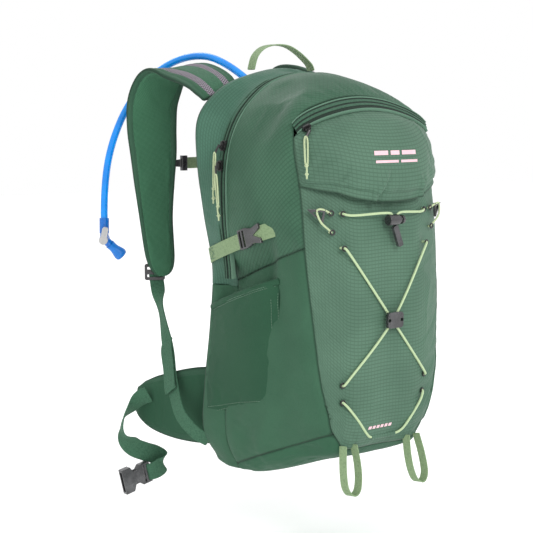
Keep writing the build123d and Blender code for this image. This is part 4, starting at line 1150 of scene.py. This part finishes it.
# %% Shoulder straps
STRAP_STATIONS = [
    ((-90, 99, 468), 52, (-0.88, 0.0, -0.47)), ((-92, 110, 478), 56, (-0.88, 0.0, -0.47)),
    ((-92, 132, 488), 56, (-0.90, 0.0, -0.44)), ((-92, 165, 496), 58, (-0.93, 0.15, -0.34)),
    ((-94, 198, 497), 60, (-0.92, 0.36, -0.14)), ((-99, 222, 484), 64, (-0.88, 0.47, 0.0)),
    ((-103, 236, 458), 67, (-0.87, 0.49, 0.0)), ((-101, 242, 425), 66, (-0.87, 0.49, 0.0)),
    ((-98, 243, 390), 62, (-0.87, 0.49, 0.0)), ((-97, 243, 350), 54, (-0.87, 0.49, 0.0)),
    ((-96, 241, 305), 45, (-0.87, 0.49, 0.0)), ((-95, 236, 266), 41, (-0.87, 0.49, 0.0)),
    ((-94.5, 233, 250), 38, (-0.87, 0.49, 0.0)), ((-94, 230.5, 239), 32, (-0.87, 0.49, 0.0)),
    ((-94, 229, 231), 22, (-0.87, 0.49, 0.0)), ((-94, 228, 227), 10, (-0.87, 0.49, 0.0)),
]
strap_shape = pad_section(10.6, (0.76,), (0.33, 0.62, 0.80))
strap_kinds = zones(strap_shape, [(0.76, 0), (0.0, 1)], [(0.80, 0), (0.62, 2), (0.33, 3), (0.0, 4)])
strap_coats = (binding, strap_mesh, side_cloth, grey_mesh, green_webbing)
for hand, flip in HANDS:
    strap = belt(f"shoulder_pad_{hand}", STRAP_STATIONS, strap_shape, strap_coats, strap_kinds, 150, 0.5, 5,
                 (0, 0.6), flip)
    settle(strap, bound_edge(strap_shape, 150, 0.74), 1.2, 0.006, limit=1.6)
    refine(strap)
    give(strap, "root", "strap_pad", f"shoulder_strap_{hand}")

# %% Webbing
# Each row: name, body, sway, rows, stations. The first and last stand for CAD nodes of that name.
WEBBINGS = [
    ("strap_webbing", "root", 0.5, 130, [
        ((-98, 240, 231), 19, (-0.87, 0.49, 0.0)), ((-98, 236, 214), 19, (-0.87, 0.49, 0.0)),
        ((-105, 218, 186), 17, (0.20, 0.95, -0.30)), ((-116, 184, 140), 19, (-0.30, 0.80, -0.50)),
        ((-130, 152, 98), 19, (-0.25, 0.75, -0.60)), ((-138, 124, 66), 19, (-0.20, 0.70, -0.70)),
        ((-130, 102, 44), 19, (-0.20, 0.70, -0.70)),
        ((-116, 90, 33), 19, (-0.20, 0.70, -0.70))]),
    ("strap_fold", "root", 0.2, 50, [
        ((-112, 190, 150), 18, (-0.28, 0.80, -0.50)), ((-119, 183, 138), 20, (-0.30, 0.80, -0.50)),
        ((-127, 166, 116), 20, (-0.27, 0.78, -0.55)), ((-134.5, 152, 97), 20.5, (-0.25, 0.75, -0.60)),
        ((-137, 146, 90), 20.5, (-0.25, 0.75, -0.60))]),
    ("strap_tab", "root", 0.2, 30, [
        ((-93, 242.5, 285), 16, (-0.87, 0.49, 0.0)), ((-92.5, 241, 262), 17, (-0.87, 0.49, 0.0)),
        ((-95, 241.5, 246), 19, (-0.87, 0.49, 0.0)), ((-98, 241, 238), 19, (-0.87, 0.49, 0.0))]),
    ("hip_webbing", "hip_wing", 0.4, 160, [
        ((-138.5, 196, 78), 22, (0.10, 0.30, -0.95)), ((-144, 205, 73), 22, (0.10, 0.30, -0.95)),
        ((-151, 213, 62), 25, (0.40, 0.50, -0.76)), ((-163, 219, 45), 25, (0.35, 0.80, -0.45)),
        ((-164, 220, 24), 25, (0.30, 0.60, -0.70)), ((-150, 219, 6), 25, (0.15, 0.10, -0.98)),
        ((-133, 217.5, -3), 25, (-0.25, 0.05, -0.95)), ((-118, 217, -9), 25, (-0.20, 0.0, -0.97)),
        ((-110, 213, -15), 25, (-0.10, -0.1, -1.0)), ((-110.5, 207.5, -21), 25, (0.10, -0.1, -1.0)),
        ((-118, 206.2, -26), 25, (0.22, 0.0, -0.97)), ((-127, 207.5, -29), 23.5, (0.24, 0.0, -0.97)),
        ((-131.5, 210.5, -30), 22.5, (0.24, 0.0, -0.97)), ((-132, 215, -30), 22.5, (0.24, 0.0, -0.97))]),
]
for name, body, sway, count, stations in WEBBINGS:
    for hand, flip in HANDS:
        strip = webbing(f"{name}_run_{hand}", stations, green_webbing, count, sway, 8, flip)
        stands = [f"{name}_{hand}"] if "webbing" in name else []
        give(strip, body if body == "root" else f"{body}_{hand}", "green_webbing", *stands)

# %% Hip wings
WING_STATIONS = [((-99, 99, 73), 98, (0, 0, 1)), ((-102, 112, 73), 100, (0, 0, 1)),
                 ((-111, 135, 70), 97, (0, 0, 1)),
                 ((-119, 165, 66), 88, (0, 0, 1)), ((-127, 195, 64), 74, (0, 0, 1)),
                 ((-133, 215, 65), 56, (0, 0, 1)),
                 ((-137, 229, 67), 32, (0, 0, 1))]
wing_shape = pad_section(8.6, (0.80,), (0.80, 0.28))
wing_kinds = zones(wing_shape, [(0.80, 0), (0.0, 1)], [(0.80, 0), (0.0, 1)])
wing_cloth = plain_weave("wing_cloth", (0.020, 0.076, 0.040), (0.028, 0.092, 0.050), (0.006, 0.026, 0.014),
                         0.85, 0.04, 0.0010)
for hand, flip in HANDS:
    wing = belt(f"hip_pad_{hand}", WING_STATIONS, wing_shape, (binding, wing_cloth), wing_kinds, 90, 0.5, 15,
                (0, 0.6), flip)
    settle(wing, bound_edge(wing_shape, 90, 0.78), 1.0, 0.006, limit=1.4)
    refine(wing)
    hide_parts(f"hip_wing_{hand}")
    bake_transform(wing)

# %% Sternum strap
STERNUM_Z = 377
for hand, flip in HANDS:
    run = [((x, y, STERNUM_Z), 15, (0, 0, 1)) for x, y in ((-58, 231), (-50, 232), (-36, 234), (-13, 235))]
    strip = webbing(f"sternum_run_{hand}", run, sage_webbing, 30, 0.2, 3, flip)
    give(strip, "sternum_strap", "sage_webbing", *(["sternum_webbing"] if hand == "left" else []))
    run = [((x, y, STERNUM_Z), wide, (0, 0, 1)) for x, y,
           wide in ((-75, 228.5, 9), (-67, 229.5, 10), (-60, 231, 12))]
    holder = webbing(f"sternum_holder_{hand}", run, hardware_plastic, 16, 0, 3, flip, flat_section(2.4))
    give(holder, "sternum_strap", "hardware")

# %% Haul loop and tool loops
LOOP_ARCH = [(-48, 498), (-47, 503), (-42, 516), (-30, 526), (-12, 530), (8, 528.5), (26, 520), (42, 508),
             (46, 503),
             (48, 498)]
arch_stations = [((x, 92, z), 15, (0, 1, 0)) for x, z in LOOP_ARCH]
haul = webbing("haul_webbing", arch_stations, sage_webbing, 90, section=flat_section(1.5))
give(haul, "root", "sage_webbing", "haul_loop")
LOOP_DROP = [(-58, 55), (-60, 30), (-59, 8), (-54, -3), (-47, -6), (-40, -1), (-37, 14), (-38, 34), (-42, 55)]
for hand, flip in HANDS:
    lean = 2.0 if flip > 0 else -15.0
    face = (-0.35 * flip, 0.93, 0)
    drop = [((x + lean * (55 - z) / 60, -104 - 3 * (55 - z) / 60, z), 10, face) for x, z in LOOP_DROP]
    loop = webbing(f"tool_webbing_{hand}", drop, sage_webbing, 90, 0.2, 9, flip, flat_section(1.4))
    give(loop, f"tool_loop_{hand}", "sage_webbing", f"tool_loop_{hand}")


# %% Compression straps
STRAP_SLOPE = 0.32


def strap_point(y, rise):
    """Middle of the compression strap at depth y, rise above the fabric."""
    y = np.asarray(y, float)
    z = 270 + (84 - y) * STRAP_SLOPE
    return np.stack([-(half_width(y, z) + rise), y, z], -1)


def side_belt(name, depths, rises, width, material, count, slot, flip, *stands):
    """Webbing on the bag's side along the compression strap's line."""
    centres = strap_point(np.array(depths), np.array(rises))
    strip = webbing(name, [(c, width, (0, STRAP_SLOPE, 1)) for c in centres], material, count, 0.3, 6, flip)
    return give(strip, "root", slot, *stands)


for hand, flip in HANDS:
    side_belt(f"compression_run_{hand}", [92, 84, 66, 48, 30, 12, 4, -2],
              [1.0, 3.6, 4.2, 4.4, 4.4, 4.4, 5.0, 6.6],
              19, sage_webbing, 70, "sage_webbing", flip, f"compression_strap_{hand}")
    side_belt(f"hook_loop_front_{hand}", [-12, -18, -30, -45], [6.6, 5.2, 3.9, 3.4],
              19, sage_webbing, 40, "sage_webbing", flip, *(["compression_loops"] if hand == "left" else []))
    side_belt(f"hook_loop_patch_{hand}", [-45, -50, -60, -68], [3.2, 2.8, 2.6, 1.6],
              22, binding, 20, "side_cloth", flip)

# %% [markdown]
# ## Cords
# Elastic cord is drawn as round tubes that pass through the eyelets into the bag. The same helper
# draws the zipper pulls: a flat tab, a loop of two strands, a knot and the cut end.


# %% Elastic lacing
def before_front(x, z, rise):
    """Point rise mm before the front at x, z."""
    return np.array([x, float(front_depth(np.array([float(x)]), np.array([float(z)]))[0]) - rise, z])


def cord(name, points, count, radius, material, *stands, body="root", slot="elastic_cord", **shape):
    """A tube through points that rides on a body."""
    tube = tube_along(name, through(points, count), radius, material, **shape)
    return give(refine(tube), body, slot, *stands)


CLIP = (4.5, 202.0)
LACE, THIN_CORD = 1.6, 1.3               # radii, mm
(TOP_X, TOP_Z), (HIGH_X, HIGH_Z), (LOW_X, LOW_Z), (FOOT_X, FOOT_Z) = EYELETS
HOOK_X = 77.5
lock_y = float(before_front(3, 322, 10.0)[1])
for hand in (-1, 1):
    high, low = (hand * HIGH_X, HIGH_Z), (-hand * LOW_X, LOW_Z)
    cross = [before_front(*high, -4), before_front(*high, 2.4), before_front(high[0] * 0.9, 282, 6.0),
             before_front(*CLIP, 6.2 + hand * 0.9),
             before_front(low[0] * 0.9, 137, 6.0), before_front(*low, 2.4), before_front(*low, -4)]
    cord(f"lacing_cross_{hand + 2}", cross, 120, LACE, elastic_braid, *(["bungee"] if hand == 1 else []))
    top = [before_front(hand * TOP_X, TOP_Z, -4), before_front(hand * TOP_X, TOP_Z, 2.6),
           before_front(hand * 52, 328, 6.5), (2 + hand * 11, lock_y, 329.5), (2 + hand * 2.5, lock_y, 325)]
    cord(f"lacing_top_{hand + 2}", top, 70, LACE, elastic_braid, *(["bungee_top"] if hand == 1 else []))
    hooks = [before_front(hand * HOOK_X, 331, -4), before_front(hand * HOOK_X, 331, 2.2),
             (hand * 90, before_front(hand * 90, 330, 8)[1], 336),
             (hand * 96, before_front(hand * 94, 330, 8)[1], 334),
             (hand * 92, before_front(hand * 90, 322, 8)[1], 321),
             before_front(hand * HOOK_X, 309, 2.2), before_front(hand * HOOK_X, 309, -4)]
    cord(f"hook_cord_{hand + 2}", hooks, 70, THIN_CORD, pull_braid)
LOW_RUN = ((-FOOT_X, FOOT_Z, -4), (-FOOT_X, FOOT_Z, 2.4), (-56, 100, 5.4), (-42, 84, 5.6), (-27, 66, 5.0),
           (-18, 61, 3.6),
           (0, 60, 3.2), (18, 61, 3.6), (30, 67, 5.0), (46, 85, 5.6), (57, 99, 5.4), (FOOT_X, FOOT_Z, 2.4),
           (FOOT_X, FOOT_Z, -4))
cord("lacing_lower", [before_front(*spot) for spot in LOW_RUN], 140, LACE, elastic_braid)
tunnel = [before_front(x, 60.5 + abs(x) * 0.03, 2.8) for x in (-19, -10, 0, 10, 19)]
cord("cord_tunnel", tunnel, 30, 3.2, front_ripstop, slot="ripstop", around=14)


# %% Zipper pulls
STRAND = 1.15                            # radius of a pull's cord, mm
STRAND_SPREAD = ((0.0, 1.2), (0.15, 1.9), (0.5, 1.8), (0.85, 1.5), (1.0, 0.7))


def zip_pull(name, body, pivot, tab_end, loop_end, tail, out):
    """A flat tab, two strands of cord, a knot with its tail."""
    pivot, tab_end, loop_end, out = (np.array(v, float) for v in (pivot, tab_end, loop_end, out))
    run = unit(loop_end - tab_end)
    aside = unit(np.cross(run, out))
    tab = [pivot, (pivot + tab_end) / 2, tab_end + unit(tab_end - pivot) * 2]
    size = np.linalg.norm(loop_end - tab_end)
    strand, other = ([tab_end + run * size * s + aside * w * way for s, w in STRAND_SPREAD] for way in (1,
                                                                                                        -1))
    tip = loop_end + run * tail
    knot = [loop_end - run * 3, loop_end, loop_end + run * (tail * 0.5) + out * 0.8, tip, tip + run * 7]
    s = np.linspace(0, 1, 60)
    fat = STRAND + 1.5 * np.exp(-((s - 0.16) / 0.07) ** 2) + 1.4 * np.exp(-((s - 0.70) / 0.06) ** 2)
    cord(f"{name}_tab", tab, 14, 1.9, slider_paint, body=body, slot="zip_metal", flatten=0.35, normal=out)
    cord(f"{name}_cord", other[::-1] + [tab_end - run * 1.6] + strand, 110, STRAND, pull_braid, body,
         body=body, normal=out)
    cord(f"{name}_knots", knot, 60, fat, pull_braid, body=body, normal=out)


zip_pull("pull_cord_upper", "pull_upper", (-127.03, 50, 407.15), (-128.5, 57.5, 396.1), (-129, 59, 354), 12,
         (-1, 0, 0))
zip_pull("pull_cord_lower", "pull_lower", (-132.43, 50, 381.96), (-132.7, 49, 370), (-131, 47.5, 333), 11,
         (-1, 0, 0))
zip_pull("pull_cord_pocket", "pocket_pull", (-92, -81.8, 426.6), (-98, -81.8, 417.6), (-105, -92, 386), 9,
         (-0.4, -0.9, 0.2))

# %% [markdown]
# ## Drinking hose
# The hose is a free tube. Its line is a smooth spline through the same route that the model's
# tube follows, from the port beside the haul loop, over the strap, down to the bite valve.

# %% Hose
HOSE_ROUTE = [(-48, 101, 486), (-52, 130, 504), (-62, 182, 521), (-81, 240, 508), (-112, 275, 464),
              (-135, 288, 407),
              (-148, 288, 348), (-150, 285, 304)]
HOSE_LENGTH, HOSE_DIAMETER = 0.379, 0.0095
hose_line = bpy.data.curves.new("drinking_hose", "CURVE")
hose_line.dimensions = "3D"
hose_line.bevel_depth = HOSE_DIAMETER / 2
hose_line.bevel_resolution = 6
hose_line.resolution_u = 20
hose_line.use_fill_caps = True
route = hose_line.splines.new("NURBS")
route.points.add(len(HOSE_ROUTE) - 1)
for point, place in zip(route.points, hang(HOSE_ROUTE)):
    point.co = (*place, 1.0)
route.order_u = 3
route.use_endpoint_u = True
hose_line.materials.append(hose_blue)
hose = bpy.data.objects.new("drinking_hose", hose_line)
bpy.context.scene.collection.objects.link(hose)
give(hose, "root", "hose_blue", "hose")

# %% [markdown]
# ## Marks, stitches and hard parts
# Printed marks and stitches lie on the finished cloth: rays cast onto the panels find where it is.

# %% Marks on the cloth
from mathutils import Vector
from mathutils.bvhtree import BVHTree


def onto(points, direction, piece, off=0.4):
    """Points in pack mm moved along a direction onto a finished piece, off mm before it."""
    tree = BVHTree.FromObject(piece, bpy.context.evaluated_depsgraph_get())
    way = unit(np.array(direction, float))
    found = []
    for point in hang(points).reshape(-1, 3):
        hit = tree.ray_cast(Vector(point - way * 0.08), Vector(way))[0]
        found.append(point if hit is None else np.array(hit) - way * off / 1000)
    return np.array(found).reshape(np.shape(points)) * 1000 + HANG


def mark_patch(name, x0, x1, z0, z1, piece, lean=0.0):
    """A printed bar between x0..x1 and z0..z1 on the front."""
    x, z = np.meshgrid(np.linspace(x0, x1, 14), np.linspace(z0, z1, 5), indexing="ij")
    grid = onto(np.stack([x + lean * (z - z0), np.full(x.shape, -110.0), z], -1), (0, 1, 0), piece, 0.35)
    patch = lay(name, grid, np.stack([x, z], -1) / 1000, materials=(marking_ink,))
    give(patch, "root", "zip_metal")


MARK_BARS = [(-27, -6, 397, 402), (-2, 12, 397, 402), (16, 40, 397, 402), (-27, 8, 388, 391),
             (12, 40, 388, 391)]
for number, (x0, x1, z0, z1) in enumerate(MARK_BARS):
    mark_patch(f"mark_bar_{number}", x0, x1, z0, z1, front_pocket, 0.25)
for number, x0 in enumerate((-27, -20.5, -14, -7.5, -1, 5.5)):
    mark_patch(f"mark_dash_{number}", x0, x0 + 4.6, 72, 75.6, front_cloth, 0.3)

# %% Stitches
stitch_points, stitch_faces = [], []
BOX = np.array([[a, b, c] for a in (-1, 1) for b in (-1, 1) for c in (-1, 1)], float)
BOX_FACES = np.array([(0, 1, 3, 2), (4, 6, 7, 5), (0, 4, 5, 1), (2, 3, 7, 6), (0, 2, 6, 4), (1, 5, 7, 3)])


def stitch_line(points, out, pitch=3.0, long=1.9, wide=0.30):
    """Dashes of thread along a line, standing out of the cloth."""
    points = np.asarray(points, float)
    total = np.linalg.norm(np.diff(points, axis=0), axis=1).sum()
    line = through(points, max(int(total / pitch) * 2 + 1, 5))
    middle = line[1::2]
    run = unit(line[2::2] - line[:-2:2])
    out = unit(np.broadcast_to(np.asarray(out, float), middle.shape))
    side = unit(np.cross(run, out))
    for centre, a, b, c in zip(middle, run * long / 2, side * wide, out * wide):
        first = len(stitch_points) * 8
        stitch_points.append(centre + BOX @ np.array([a, b, c]))
        stitch_faces.extend((BOX_FACES + first).tolist())


def sewn_box(centre, along, across, long, wide):
    """A box of stitches with a cross in it, on webbing."""
    centre, along, across = np.array(centre,
                                     float), unit(np.array(along, float)), unit(np.array(across, float))
    out = np.cross(along, across)
    out = out * np.sign(np.dot(out, centre - np.array([0, 0, 250.0])))
    corners = [centre + along * a * long / 2 + across * b * wide / 2 for a,
               b in ((-1, -1), (-1, 1), (1, 1), (1, -1))]
    for start, end in zip(corners + [corners[0]], corners[1:] + [corners[0], corners[2]]):
        stitch_line([start, (start + end) / 2, end], out, 2.4, 1.6)
    stitch_line([corners[1], centre, corners[3]], out, 2.4, 1.6)


for hand, flip in HANDS:
    face = np.array([flip, 1, 1])
    for depth, rise in ((76.0, 5.2), (-55.0, 3.9)):
        sewn_box(strap_point(depth, rise) * face, np.array([0.08, -1, 0.32]) * face, (0, 0.32, 1), 12, 13)
    pocket = bpy.data.objects[f"stretch_pocket_{hand}"]
    rim = pocket_grid[4:, -1] * face
    seams = [((rim + np.array([0.0, 0.35, -0.95]) * drop), 6) for drop in (3.8, 6.6)]
    seams += [(np.concatenate([pocket_grid[6:-inset, inset], pocket_grid[-inset, inset:-4]]) * face, 4)
              for inset in (2, 5)]
    for line, every in seams:
        stitch_line(onto(line, (flip, 0, 0), pocket, 0.15)[::every], (-flip, 0, 0), 3.2, 2.0, 0.24)
stitches = bpy.data.meshes.new("stitches")
stitches.from_pydata(hang(np.concatenate(stitch_points)).tolist(), [], stitch_faces)
thread = moulded("thread", (0.105, 0.190, 0.130), (0.150, 0.250, 0.180), 0.7)
stitches.materials.append(thread)
stitch_piece = bpy.data.objects.new("stitches", stitches)
bpy.context.scene.collection.objects.link(stitch_piece)
give(stitch_piece, "root", "green_webbing")
print("stitches:", len(stitch_points))

# %% Materials of the hard parts
COATS = {
    slider_paint: ("zip_slider_upper", "zip_slider_lower", "pocket_slider", "eyelets"),
    hardware_plastic: ("ladder_locks", "sternum_clips", "sternum_buckle_female", "sternum_buckle_male",
                       "compression_buckle_left", "compression_buckle_right", "tool_hooks", "bungee_clip",
                       "hose_port", "cord_lock", "cord_end", "lock_button"),
    buckle_plastic: ("hip_buckle_female", "hip_buckle_male"),
    lever_plastic: ("valve_lever",),
    valve_plastic: ("valve_body", "reservoir_cap"),
    mouth_silicone: ("mouthpiece",),
    frame_plastic: ("frame_sheet",),
    bladder_film: ("reservoir",),
    hose_blue: ("hose_inner", "hose"),
    binding: ("zip_tape", "zip_teeth"),
    sage_webbing: ("haul_loop",),
}
for material, names in COATS.items():
    for name in names:
        nodes[name].data.materials.clear()
        nodes[name].data.materials.append(material)
SOFT_EDGES = [name for material in (slider_paint, hardware_plastic, buckle_plastic,
                                    lever_plastic) for name in COATS[material]]
for name in SOFT_EDGES:
    weld = nodes[name].modifiers.new("weld", "WELD")
    weld.merge_threshold = 0.00002
    edge = nodes[name].modifiers.new("soft_edges", "BEVEL")
    edge.width, edge.segments = 0.0004, 2
    edge.limit_method, edge.angle_limit = "ANGLE", math.radians(38)
print("shown CAD nodes:", sorted(name for name, node in nodes.items() if not node.hide_render))

# %% [markdown]
# ## Room, light and camera
# A pale plain floor with soft light from all round, brighter from the front, as for a catalogue.
# The camera stands to the left of the front, a little above the middle of the bag.

# %% Floor, light and camera
floor_low = hang([0, 0, -84.0])[2]
floor_mesh = bpy.data.meshes.new("floor")
corners = [(x, y, floor_low) for x, y in ((-6, -6), (6, -6), (6, 6), (-6, 6))]
floor_mesh.from_pydata(corners, [], [(0, 1, 2, 3)])
floor = bpy.data.objects.new("floor", floor_mesh)
bpy.context.scene.collection.objects.link(floor)
floor_paint = Paint("floor_paint", roughness=0.9)
floor_paint.shader.inputs["Emission Color"].default_value = (1.0, 1.0, 1.0, 1.0)
floor_paint.shader.inputs["Emission Strength"].default_value = 0.22
floor_mesh.materials.append(floor_paint.finish((0.94, 0.94, 0.94)))

bpy.context.scene.view_settings.view_transform = "Standard"
world = bpy.data.worlds.new("studio")
bpy.context.scene.world = world
world.use_nodes = True
world.node_tree.nodes["Background"].inputs["Color"].default_value = (1.0, 1.0, 1.0, 1)
world.node_tree.nodes["Background"].inputs["Strength"].default_value = 1.0


def lamp(name, place, aim, size, watts):
    """A square soft light at a place in the hung frame, turned to its aim."""
    light = bpy.data.lights.new(name, "AREA")
    light.size, light.energy = size, watts
    holder = bpy.data.objects.new(name, light)
    holder.location = place
    from_to = np.array(aim) - np.array(place)
    flat = math.hypot(from_to[0], from_to[1])
    holder.rotation_euler = (math.atan2(flat, -from_to[2]), 0,
                             math.atan2(from_to[1], from_to[0]) - math.pi / 2)
    bpy.context.scene.collection.objects.link(holder)
    return holder


lamp("key", (-0.3, -2.2, 0.9), (0, -0.1, -0.3), 1.0, 24)
lamp("fill", (1.8, -1.0, 0.5), (0, -0.1, -0.3), 1.6, 2)
lamp("rim", (0.2, 1.6, 1.2), (0, 0, -0.2), 1.4, 12)

lens = bpy.data.cameras.new("camera")
lens.lens, lens.sensor_width = 98.17, 36.0
camera = bpy.data.objects.new("camera", lens)
camera.location = (-1.1386, -1.4845, -0.0709)
camera.rotation_euler = (math.radians(83.48), 0, math.radians(-36.90))
bpy.context.scene.collection.objects.link(camera)
bpy.context.scene.camera = camera
print("camera", tuple(round(x, 3) for x in camera.location))
